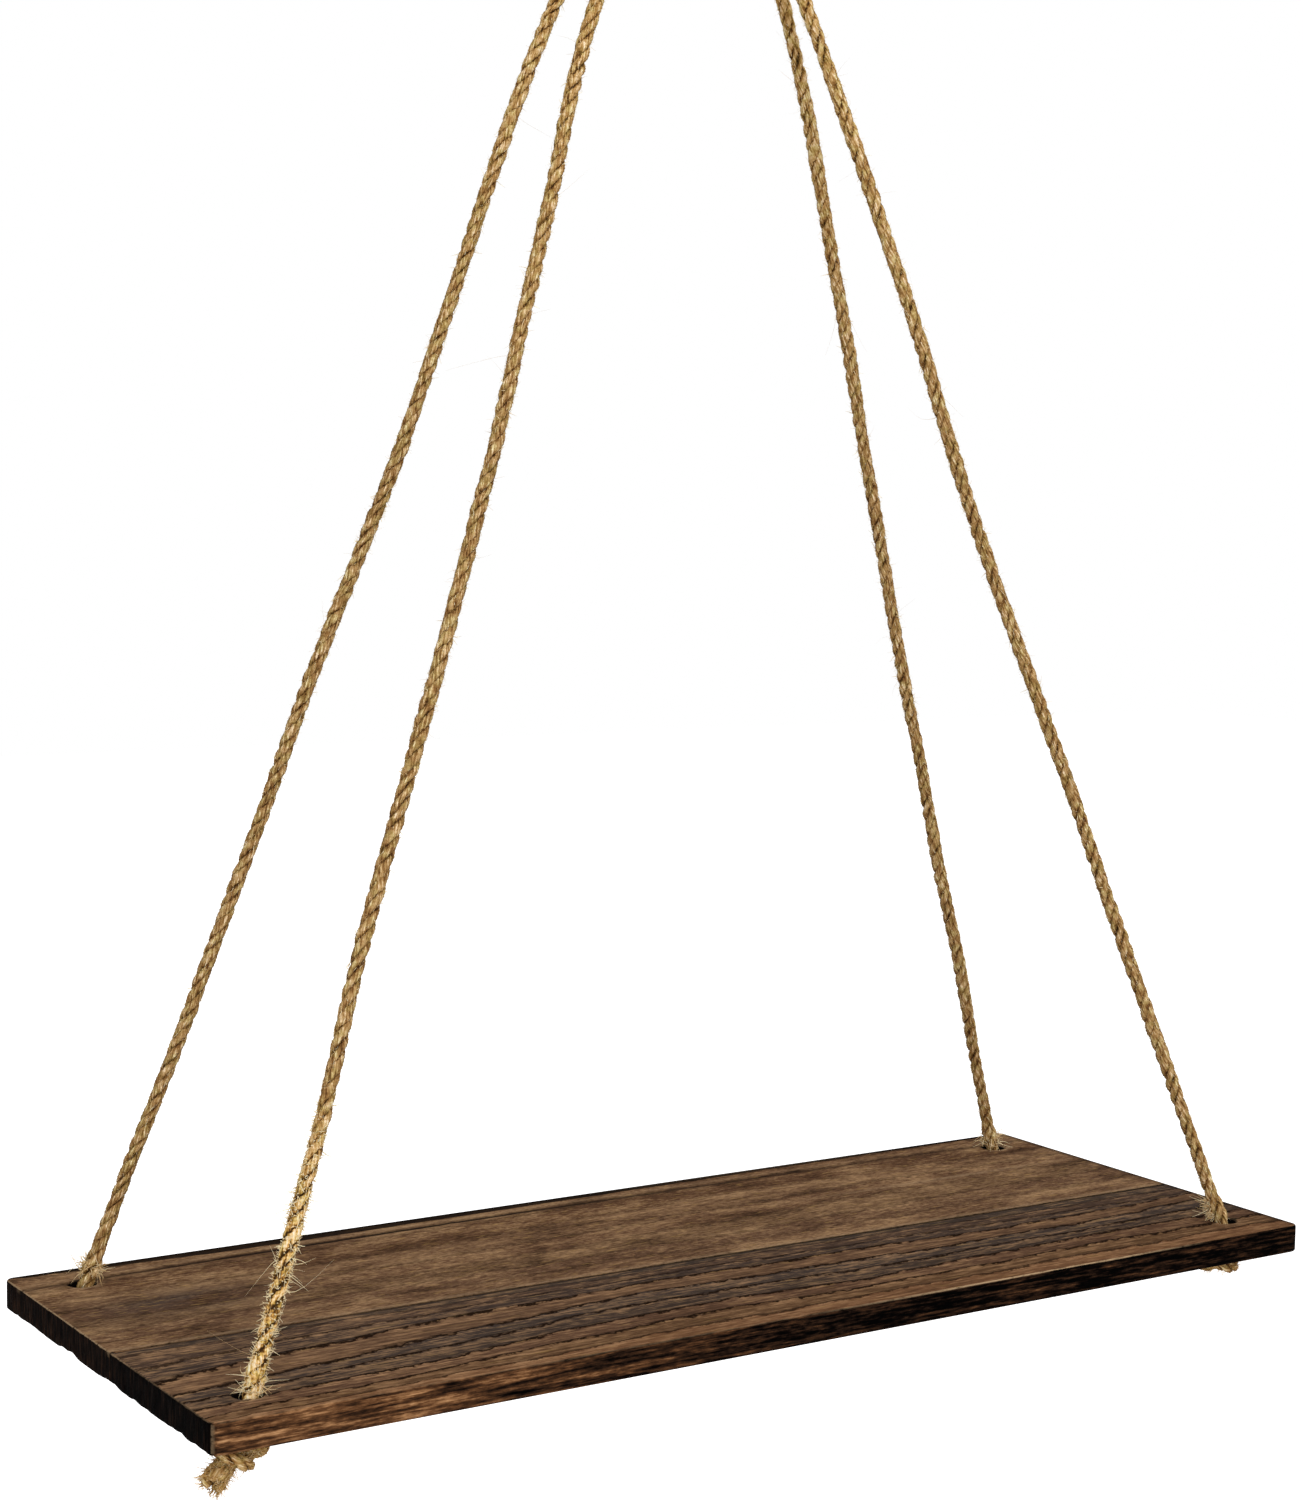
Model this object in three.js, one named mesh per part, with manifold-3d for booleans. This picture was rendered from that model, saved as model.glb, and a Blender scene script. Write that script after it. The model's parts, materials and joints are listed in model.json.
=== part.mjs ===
// Hanging rope shelf: a board of two glued staves, carried at its four corners by two jute ropes.
// The ropes are tied together above the board and hang over a screw hook.
// Millimetres, +Z up, -Y to the front. The origin is on the ceiling, in the middle of the hook's collar.
import * as THREE from 'three';
import { mergeVertices } from 'three/addons/utils/BufferGeometryUtils.js';
import Module from 'manifold-3d';

const wasm = await Module();
wasm.setup();

// Clearances
const CLEARANCE = 0.3;
const KNOT_GAP = 0.5;
const CUT_OVERRUN = 2;
const FOOT_OVERRUN = 14;

// Board
const BOARD_LENGTH = 430;
const BOARD_WIDTH = 168;
const BOARD_THICKNESS = 10;
const BOARD_CORNER_RADIUS = 3;
const BOARD_ARRIS = 0.8;
const FRONT_STAVE_WIDTH = 72.5;
const GLUE_LINE_DRIFT = 5.9;
const GLUE_THICKNESS = 0.1;
const HOLE_DIAMETER = 9;
const HOLE_END_INSET = 20;
const HOLE_EDGE_INSET = 18.5;

// Ropes
const ROPE_DIAMETER = 5;
const SQUEEZED_DIAMETER = 4.4;
const ROPE_LEAN = 1.1;
const FOOT_LEAN = 0.9;
const LEG_SAG = 7.8;
const PIVOT_ABOVE_BOARD = 552;
const FRONT_LEFT_TAIL = 7;
const FRONT_RIGHT_TAIL = 3;
const REAR_LEFT_TAIL = 5;
const REAR_RIGHT_TAIL = 7;

// Hook
const WIRE_DIAMETER = 4;
const HOOK_INNER_RADIUS = 12;
const NECK_ANGLE = Math.PI / 3;
const TIP_ANGLE = (145 * Math.PI) / 180;
const SHANK_LENGTH = 9;
const SCREW_LENGTH = 26;
const SCREW_TIP_LENGTH = 7;
const SCREW_TIP_DIAMETER = 0.8;
const COLLAR_DIAMETER = 16;
const COLLAR_THICKNESS = 2.5;
const COLLAR_RIM = 1.1;

// The loops' reach from the hook's wire down to the gathering knot
const LOOP_DROP = 26;
// The ball in which the ropes below the gathering knot turn
const BALL_RADIUS = 9;

// Facet counts
const ROPE_SIDES = 8;
const WIRE_SIDES = 12;
const ROUND_SIDES = 32;
const HOOK_STEPS = 40;
const LEG_STEPS = 40;
const BIGHT_STEPS = 26;
const STOPPER_STEPS = 40;
const GATHER_STEPS = 48;
const FRAME_STEPS = 96;
const GAP_SAMPLES = 240;
const BOARD_CURVE_STEPS = 8;

// Half of an overhand knot's route, in tight rope diameters, from its middle to its upper lead.
// The other half is the same, turned half round about Y.
const HALF_OVERHAND_SHARES = [
  [0, 0.95, 0],
  [-0.7, 0.85, -0.5],
  [-1.15, 0.35, -1.05],
  [-1.05, -0.5, -1.3],
  [-0.45, -1.1, -1.1],
  [0.25, -1.15, -0.6],
  [0.58, -0.65, 0],
  [0.3, -0.12, 0.58],
  [0.02, 0, 1.4],
];
const OVERHAND_SPACING_SHARE = 1.02;
const OVERHAND_LEAD_SHARE = 1.4;
const OVERHAND_REACH_SHARE = 1.3;

// How far a stopper knot's middle lies from its hole, in tight rope diameters
const STOPPER_SHIFT_SHARE = 1.2;

// A leg's route: the share of its straight line from the hole to the pivot's level, and the share
// by which it has left that line for its place beside the other ropes.
const LEG_ROUTE_SHARES = [
  [0.02, 0],
  [0.06, 0],
  [0.12, 0],
  [0.2, 0],
  [0.3, 0],
  [0.4, 0],
  [0.5, 0],
  [0.6, 0],
  [0.7, 0],
  [0.78, 0.04],
  [0.84, 0.18],
  [0.89, 0.38],
  [0.93, 0.61],
  [0.96, 0.82],
  [0.985, 1],
  [1, 1],
];

// Each rope end: its corner of the board, where its straight line meets the pivot's level, and how
// its stopper knot lies: tilted from upright, turned about the hole, and with this much tail.
const CORNERS = [
  { name: 'right_rope_rear', side: 1, end: 1, aim: [5.9, 0.3] },
  { name: 'left_rope_rear', side: -1, end: 1, aim: [-6.7, 5.1] },
  { name: 'left_rope_front', side: -1, end: -1, aim: [-8.5, 0.6] },
  { name: 'right_rope_front', side: 1, end: -1, aim: [-6.1, 4.3] },
];
const STOPPERS = {
  right_rope_rear: { tilt: 0.7, turn: 2.6, tail: REAR_RIGHT_TAIL },
  left_rope_rear: { tilt: 0.6, turn: 3.4, tail: REAR_LEFT_TAIL },
  left_rope_front: { tilt: 1.1, turn: 0.52, tail: FRONT_LEFT_TAIL },
  right_rope_front: { tilt: 1, turn: 4.45, tail: FRONT_RIGHT_TAIL },
};

// Places worked out from the sizes above
const HOOK_RADIUS = HOOK_INNER_RADIUS + WIRE_DIAMETER / 2;
const NECK_RADIUS = (HOOK_RADIUS * Math.cos(NECK_ANGLE)) / (1 - Math.cos(NECK_ANGLE));
const NECK_TOP = -SHANK_LENGTH;
const HOOK_CENTRE = NECK_TOP - (NECK_RADIUS + HOOK_RADIUS) * Math.sin(NECK_ANGLE);
const HOOK_SEAT = HOOK_CENTRE - HOOK_RADIUS;
const ROPE_PITCH = ROPE_DIAMETER + CLEARANCE;
const SEAT_RADIUS = HOOK_INNER_RADIUS - ROPE_DIAMETER / 2 - CLEARANCE;
const BIGHT_RADIUS = HOOK_RADIUS - Math.sqrt(SEAT_RADIUS ** 2 - (ROPE_PITCH / 2) ** 2);
const SQUEEZED_PITCH = SQUEEZED_DIAMETER + KNOT_GAP;
const BUNDLE_DIAMETER = SQUEEZED_PITCH * Math.SQRT2 + SQUEEZED_DIAMETER;
const GATHER_SCALE = (BUNDLE_DIAMETER + KNOT_GAP) / OVERHAND_SPACING_SHARE;
const STOPPER_SCALE = (SQUEEZED_DIAMETER + KNOT_GAP) / OVERHAND_SPACING_SHARE;
const KNOT_REACH = OVERHAND_REACH_SHARE * GATHER_SCALE + BUNDLE_DIAMETER / 2;
const KNOT_TOP = HOOK_SEAT - LOOP_DROP;
const KNOT_CENTRE = KNOT_TOP - KNOT_REACH;
const PIVOT = KNOT_CENTRE - KNOT_REACH;
const BOARD_TOP = PIVOT - PIVOT_ABOVE_BOARD;
const BOARD_UNDERSIDE = BOARD_TOP - BOARD_THICKNESS;

// Materials
const colours = { jute: 0xb08a4e, darkStave: 0x4a3427, lightStave: 0x6b4d36, steel: 0x8f9092 };

function material(colour, roughness, metalness) {
  return new THREE.MeshStandardMaterial({ color: colour, roughness, metalness });
}

function named(name, geometry, finish) {
  const mesh = new THREE.Mesh(geometry, finish);
  mesh.name = name;
  return mesh;
}

// Joins and cuts
function toSolid(geometry) {
  const bare = geometry.clone();
  bare.deleteAttribute('normal');
  bare.deleteAttribute('uv');
  const merged = mergeVertices(bare);
  return new wasm.Manifold(
    new wasm.Mesh({
      numProp: 3,
      vertProperties: merged.attributes.position.array,
      triVerts: new Uint32Array(merged.index.array),
    }),
  );
}

function toGeometry(solid) {
  const mesh = solid.getMesh();
  const geometry = new THREE.BufferGeometry();
  geometry.setAttribute('position', new THREE.BufferAttribute(mesh.vertProperties, 3));
  geometry.setIndex(new THREE.BufferAttribute(mesh.triVerts, 1));
  geometry.computeVertexNormals();
  return geometry;
}

// A round bar of even thickness along a curve
function bar(curve, diameter, steps, sides) {
  const section = new THREE.Shape();
  section.absarc(0, 0, diameter / 2, 0, 2 * Math.PI);
  return new THREE.ExtrudeGeometry(section, {
    steps,
    curveSegments: sides / 2,
    extrudePath: curve,
  });
}

// A wide slab between two heights, which trims rope ends square to the vertical
function slab(low, high) {
  const box = new THREE.BoxGeometry(BOARD_LENGTH, BOARD_LENGTH, high - low);
  box.translate(0, 0, (low + high) / 2);
  return toSolid(box);
}

function ball(radius, height) {
  const sphere = new THREE.SphereGeometry(radius, ROUND_SIDES, ROUND_SIDES / 2);
  sphere.rotateX(Math.PI / 2);
  sphere.translate(0, 0, height);
  return sphere;
}

// Hook: the wire's neck, its round bight and the tapered screw, in one piece
function hookRoute() {
  const points = [
    new THREE.Vector3(0, 0, -COLLAR_THICKNESS / 2),
    new THREE.Vector3(0, 0, NECK_TOP / 2),
  ];
  const neckSteps = 5;
  for (let i = 0; i < neckSteps; i += 1) {
    const a = (NECK_ANGLE * i) / neckSteps;
    const across = NECK_RADIUS * (1 - Math.cos(a));
    points.push(new THREE.Vector3(across, 0, NECK_TOP - NECK_RADIUS * Math.sin(a)));
  }
  const bendSteps = 24;
  const sweep = 2 * Math.PI - (TIP_ANGLE - NECK_ANGLE);
  for (let i = 0; i <= bendSteps; i += 1) {
    const a = NECK_ANGLE - (sweep * i) / bendSteps;
    const height = HOOK_CENTRE + HOOK_RADIUS * Math.sin(a);
    points.push(new THREE.Vector3(HOOK_RADIUS * Math.cos(a), 0, height));
  }
  return new THREE.CatmullRomCurve3(points);
}

function hookScrew() {
  const radius = WIRE_DIAMETER / 2;
  const outer = COLLAR_DIAMETER / 2;
  const profile = [
    new THREE.Vector2(0, -COLLAR_THICKNESS),
    new THREE.Vector2((radius + outer) / 2, -COLLAR_THICKNESS),
    new THREE.Vector2(outer, -COLLAR_RIM),
    new THREE.Vector2(outer, 0),
    new THREE.Vector2(radius, 0),
    new THREE.Vector2(radius, SCREW_LENGTH - SCREW_TIP_LENGTH),
    new THREE.Vector2(SCREW_TIP_DIAMETER / 2, SCREW_LENGTH),
    new THREE.Vector2(0, SCREW_LENGTH),
  ];
  const screw = new THREE.LatheGeometry(profile, ROUND_SIDES);
  screw.rotateX(Math.PI / 2);
  return toSolid(screw);
}

function ceilingHook(finish) {
  const route = hookRoute();
  const wire = toSolid(bar(route, WIRE_DIAMETER, HOOK_STEPS, WIRE_SIDES));
  const tip = route.getPointAt(1);
  const end = new THREE.SphereGeometry(WIRE_DIAMETER / 2, WIRE_SIDES, WIRE_SIDES / 2);
  end.translate(tip.x, tip.y, tip.z);
  const whole = wire.add(toSolid(end)).add(hookScrew());
  return named('ceiling_hook', toGeometry(whole), finish);
}

// Bights: each rope goes up from the gathering knot, over the hook's wire and down again
function bightRoute(side) {
  const x = (side * ROPE_PITCH) / 2;
  const halfPitch = ROPE_PITCH / 2;
  const bendSteps = 8;
  const down = [
    [BIGHT_RADIUS, -0.2 * LOOP_DROP],
    [BIGHT_RADIUS - 0.3 * (BIGHT_RADIUS - halfPitch), -0.45 * LOOP_DROP],
    [BIGHT_RADIUS - 0.8 * (BIGHT_RADIUS - halfPitch), -0.75 * LOOP_DROP],
    [halfPitch, -LOOP_DROP - CUT_OVERRUN],
  ];
  const points = [];
  [...down].reverse().forEach(([y, z]) => points.push(new THREE.Vector3(x, -y, HOOK_SEAT + z)));
  for (let i = 0; i <= bendSteps; i += 1) {
    const a = Math.PI * (1 - i / bendSteps);
    const y = BIGHT_RADIUS * Math.cos(a);
    points.push(new THREE.Vector3(x, y, HOOK_SEAT + BIGHT_RADIUS * Math.sin(a)));
  }
  down.forEach(([y, z]) => points.push(new THREE.Vector3(x, y, HOOK_SEAT + z)));
  return new THREE.CatmullRomCurve3(points);
}

function bight(name, side, finish) {
  const rope = toSolid(bar(bightRoute(side), ROPE_DIAMETER, BIGHT_STEPS, ROPE_SIDES));
  const trimmed = rope.subtract(slab(KNOT_CENTRE, KNOT_TOP));
  return named(name, toGeometry(trimmed), finish);
}

// Overhand knot: from the upper lead, through the knot, to the lower lead
function overhandPoints(scale) {
  const upper = HALF_OVERHAND_SHARES.map(([x, y, z]) => new THREE.Vector3(x, y, z));
  const lower = upper.slice(1).map((p) => new THREE.Vector3(-p.x, p.y, -p.z));
  return [...upper.reverse(), ...lower].map((p) => p.multiplyScalar(scale));
}

// Gathering knot: the four rope stretches run side by side along one overhand knot
function gatherRoutes() {
  const route = overhandPoints(GATHER_SCALE);
  const lead = OVERHAND_LEAD_SHARE * GATHER_SCALE;
  const ends = [(KNOT_REACH + lead) / 2, KNOT_REACH + CUT_OVERRUN];
  ends.forEach((z) => route.unshift(new THREE.Vector3(0, 0, z)));
  const stubs = [KNOT_REACH, KNOT_REACH + BALL_RADIUS / 2, KNOT_REACH + BALL_RADIUS + CUT_OVERRUN];
  stubs.forEach((z) => route.push(new THREE.Vector3(0, 0, -z)));
  const bundle = new THREE.CatmullRomCurve3(route);
  const frames = bundle.computeFrenetFrames(FRAME_STEPS, false);
  const first = frames.normals[0];
  const last = frames.normals[FRAME_STEPS];
  const start = Math.atan2(first.y, first.x);
  const turned = Math.atan2(last.y, last.x) - start;
  const spareTurn = turned - 2 * Math.PI * Math.round(turned / (2 * Math.PI));
  const radius = (SQUEEZED_PITCH / 2) * Math.SQRT2;
  return CORNERS.map((corner) => {
    const place = Math.atan2(corner.end, corner.side);
    const points = [];
    for (let i = 0; i <= FRAME_STEPS; i += 1) {
      const angle = start - place + (spareTurn * i) / FRAME_STEPS;
      const point = bundle.getPointAt(i / FRAME_STEPS);
      point.addScaledVector(frames.normals[i], radius * Math.cos(angle));
      point.addScaledVector(frames.binormals[i], radius * Math.sin(angle));
      point.z += KNOT_CENTRE;
      points.push(point);
    }
    return new THREE.CatmullRomCurve3(points);
  });
}

function gatherStrands(finish) {
  const reach = BALL_RADIUS + CUT_OVERRUN;
  const below = new THREE.BoxGeometry(2 * reach, 2 * reach, 2 * reach);
  below.translate(0, 0, PIVOT - reach);
  const rounded = toSolid(below).subtract(toSolid(ball(BALL_RADIUS, PIVOT)));
  const cutter = rounded.add(slab(KNOT_TOP - CLEARANCE, HOOK_SEAT));
  const routes = gatherRoutes();
  reportGap('gathering knot', routes, SQUEEZED_DIAMETER);
  return CORNERS.map((corner, index) => {
    const strand = toSolid(bar(routes[index], SQUEEZED_DIAMETER, GATHER_STEPS, ROPE_SIDES));
    return named(`${corner.name}_knot_strand`, toGeometry(strand.subtract(cutter)), finish);
  });
}

// The least clear distance between the ropes of a knot, measured on points along them
function reportGap(label, routes, diameter) {
  const samples = routes.map((route) => route.getSpacedPoints(GAP_SAMPLES));
  const step = routes[0].getLength() / GAP_SAMPLES;
  let least = Infinity;
  samples.forEach((points, a) => {
    samples.slice(a).forEach((others, b) => {
      points.forEach((point, i) => {
        others.forEach((other, j) => {
          const apart = b > 0 || (j - i) * step > 2 * diameter;
          if (apart) least = Math.min(least, point.distanceTo(other) - diameter);
        });
      });
    });
  });
  console.log(`${label}: least gap between its ropes ${least.toFixed(2)} mm`);
}

// Where a leg's line crosses the board's top, leaning inwards in its hole
function holeCentre(corner) {
  const x = corner.side * (BOARD_LENGTH / 2 - HOLE_END_INSET);
  const y = corner.end * (BOARD_WIDTH / 2 - HOLE_EDGE_INSET);
  return new THREE.Vector3(x, y, BOARD_TOP);
}

function leaning(corner, lean, height) {
  const point = holeCentre(corner);
  const inwards = new THREE.Vector3(corner.aim[0] - point.x, corner.aim[1] - point.y, 0);
  point.addScaledVector(inwards.normalize(), lean);
  point.z = height;
  return point;
}

// Legs: each rope stretch runs from its hole in the board up to the gathering knot
function legRoute(corner) {
  const foot = leaning(corner, ROPE_LEAN, BOARD_TOP);
  const line = new THREE.Vector3(corner.aim[0], corner.aim[1], PIVOT);
  const pitch = ROPE_PITCH / 2;
  const stub = new THREE.Vector3(corner.side * pitch, corner.end * pitch, PIVOT);
  const points = [leaning(corner, -FOOT_LEAN, BOARD_UNDERSIDE - FOOT_OVERRUN)];
  points.push(leaning(corner, -FOOT_LEAN, BOARD_UNDERSIDE + BOARD_THICKNESS / 4), foot);
  LEG_ROUTE_SHARES.forEach(([along, joined]) => {
    const point = foot.clone().lerp(line, along);
    point.x += (stub.x - point.x) * joined;
    point.y += (stub.y - point.y) * joined;
    point.z -= 4 * LEG_SAG * along * (1 - along);
    points.push(point);
  });
  return new THREE.CatmullRomCurve3(points);
}

function leg(corner, finish) {
  const rope = toSolid(bar(legRoute(corner), ROPE_DIAMETER, LEG_STEPS, ROPE_SIDES));
  const seat = toSolid(ball(BALL_RADIUS + CLEARANCE, PIVOT));
  const foot = slab(BOARD_UNDERSIDE - 2 * FOOT_OVERRUN, BOARD_UNDERSIDE);
  return named(`${corner.name}_leg`, toGeometry(rope.subtract(seat.add(foot))), finish);
}

// Stopper knots: an overhand knot in each rope end, drawn up under the board
function stopperRoute(corner) {
  const lie = STOPPERS[corner.name];
  const tilt = new THREE.Euler(0, lie.tilt, lie.turn, 'ZYX');
  const knot = overhandPoints(STOPPER_SCALE).slice(1).map((p) => p.applyEuler(tilt));
  const tail = new THREE.Vector3(0, 0, -1).applyEuler(tilt);
  const body = new THREE.CatmullRomCurve3(knot).getSpacedPoints(GAP_SAMPLES);
  const rise = Math.max(...body.map((p) => p.z)) + SQUEEZED_DIAMETER / 2;
  const top = leaning(corner, -FOOT_LEAN, BOARD_UNDERSIDE + CUT_OVERRUN);
  const centre = top.clone().addScaledVector(tail, STOPPER_SHIFT_SHARE * STOPPER_SCALE);
  centre.z = BOARD_UNDERSIDE - CLEARANCE - rise;
  knot.forEach((p) => p.add(centre));
  knot.push(knot[knot.length - 1].clone().addScaledVector(tail, lie.tail));
  return new THREE.CatmullRomCurve3([top, ...knot]);
}

function stopperKnot(corner, finish) {
  const route = stopperRoute(corner);
  reportGap(`${corner.name} stopper knot`, [route], SQUEEZED_DIAMETER);
  const rope = toSolid(bar(route, SQUEEZED_DIAMETER, STOPPER_STEPS, ROPE_SIDES));
  const trimmed = rope.subtract(slab(BOARD_UNDERSIDE - CLEARANCE, BOARD_TOP));
  return named(`${corner.name}_stopper_knot`, toGeometry(trimmed), finish);
}

// Board: two staves glued edge to edge, cut from one drilled panel with broken edges
function boardPanel() {
  const length = BOARD_LENGTH / 2;
  const width = BOARD_WIDTH / 2;
  const r = BOARD_CORNER_RADIUS;
  const outline = new THREE.Shape();
  outline.moveTo(-length + r, -width);
  outline.lineTo(length - r, -width);
  outline.absarc(length - r, -width + r, r, -Math.PI / 2, 0);
  outline.lineTo(length, width - r);
  outline.absarc(length - r, width - r, r, 0, Math.PI / 2);
  outline.lineTo(-length + r, width);
  outline.absarc(-length + r, width - r, r, Math.PI / 2, Math.PI);
  outline.lineTo(-length, -width + r);
  outline.absarc(-length + r, -width + r, r, Math.PI, 1.5 * Math.PI);
  CORNERS.forEach((corner) => {
    const hole = new THREE.Path();
    const centre = holeCentre(corner);
    hole.absarc(centre.x, centre.y, HOLE_DIAMETER / 2, 0, 2 * Math.PI, true);
    outline.holes.push(hole);
  });
  const panel = new THREE.ExtrudeGeometry(outline, {
    depth: BOARD_THICKNESS - 2 * BOARD_ARRIS,
    curveSegments: BOARD_CURVE_STEPS,
    bevelThickness: BOARD_ARRIS,
    bevelSize: BOARD_ARRIS,
    bevelOffset: -BOARD_ARRIS,
    bevelSegments: 2,
  });
  panel.translate(0, 0, BOARD_UNDERSIDE + BOARD_ARRIS);
  return toSolid(panel);
}

function stave(name, panel, end, finish) {
  const reach = BOARD_LENGTH / 2;
  const middle = FRONT_STAVE_WIDTH - BOARD_WIDTH / 2;
  const far = end * BOARD_WIDTH;
  const skin = (end * GLUE_THICKNESS) / 2;
  const side = new THREE.Shape();
  side.moveTo(-reach - CUT_OVERRUN, middle + GLUE_LINE_DRIFT / 2 + skin);
  side.lineTo(reach + CUT_OVERRUN, middle - GLUE_LINE_DRIFT / 2 + skin);
  side.lineTo(reach + CUT_OVERRUN, far);
  side.lineTo(-reach - CUT_OVERRUN, far);
  const depth = BOARD_THICKNESS + 2 * CUT_OVERRUN;
  const half = new THREE.ExtrudeGeometry(side, { depth, bevelEnabled: false });
  half.translate(0, 0, BOARD_UNDERSIDE - CUT_OVERRUN);
  return named(name, toGeometry(panel.intersect(toSolid(half))), finish);
}

// The whole shelf
function hangingShelf() {
  const shelf = new THREE.Group();
  const panel = boardPanel();
  shelf.add(ceilingHook(material(colours.steel, 0.35, 1)));
  shelf.add(bight('left_rope_bight', -1, material(colours.jute, 0.95, 0)));
  shelf.add(bight('right_rope_bight', 1, material(colours.jute, 0.95, 0)));
  shelf.add(...gatherStrands(material(colours.jute, 0.95, 0)));
  CORNERS.forEach((corner) => {
    shelf.add(leg(corner, material(colours.jute, 0.95, 0)));
    shelf.add(stopperKnot(corner, material(colours.jute, 0.95, 0)));
  });
  shelf.add(stave('board_front_stave', panel, -1, material(colours.darkStave, 0.7, 0)));
  shelf.add(stave('board_rear_stave', panel, 1, material(colours.lightStave, 0.7, 0)));
  return shelf;
}

export default hangingShelf();
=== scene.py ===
"""A hanging rope shelf: two glued, torched staves on two twisted jute ropes under a screw hook."""

import json
import logging
import math
from collections.abc import Callable
from dataclasses import dataclass, field, replace
from enum import Enum, IntEnum
from functools import partial

import bmesh
import bpy
import numpy as np
from mathutils import Matrix, Vector, noise

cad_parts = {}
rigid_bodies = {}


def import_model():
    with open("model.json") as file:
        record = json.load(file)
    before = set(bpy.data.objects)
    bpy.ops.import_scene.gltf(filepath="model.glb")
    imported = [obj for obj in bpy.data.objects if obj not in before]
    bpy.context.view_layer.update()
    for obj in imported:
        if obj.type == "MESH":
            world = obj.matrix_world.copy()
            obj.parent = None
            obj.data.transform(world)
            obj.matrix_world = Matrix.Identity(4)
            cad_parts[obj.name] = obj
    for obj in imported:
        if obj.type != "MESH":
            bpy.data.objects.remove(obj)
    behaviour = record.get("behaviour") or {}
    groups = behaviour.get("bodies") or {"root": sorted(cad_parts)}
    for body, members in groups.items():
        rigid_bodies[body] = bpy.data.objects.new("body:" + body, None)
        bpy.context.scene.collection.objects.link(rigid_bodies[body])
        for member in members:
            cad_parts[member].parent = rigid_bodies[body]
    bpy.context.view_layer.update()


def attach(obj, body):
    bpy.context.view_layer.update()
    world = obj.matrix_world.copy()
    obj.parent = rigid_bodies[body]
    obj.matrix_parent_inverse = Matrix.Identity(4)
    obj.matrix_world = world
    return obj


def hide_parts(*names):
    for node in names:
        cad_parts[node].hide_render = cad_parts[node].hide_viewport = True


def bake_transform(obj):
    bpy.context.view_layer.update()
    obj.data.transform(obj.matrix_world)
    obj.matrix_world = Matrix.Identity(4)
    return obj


LOG = logging.getLogger("hanging_shelf")
MM = 0.001
Z_AXIS = np.array((0.0, 0.0, 1.0))
# In millimetres: how far a shape runs on past its cut, and the rope to one unit of its UV map.
CUT_OVERRUN = 2
LAY_UNIT = 10
Socket = bpy.types.NodeSocket
Adder = Callable[..., Socket]
Ramp = tuple[tuple[float, float | str], ...]


class Side(Enum):
    """The side of the board that a rope carries, with its sign along X."""

    LEFT = -1
    RIGHT = 1


class End(Enum):
    """The long edge of the board that a leg stands near, with its sign along Y."""

    FRONT = -1
    REAR = 1


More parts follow.
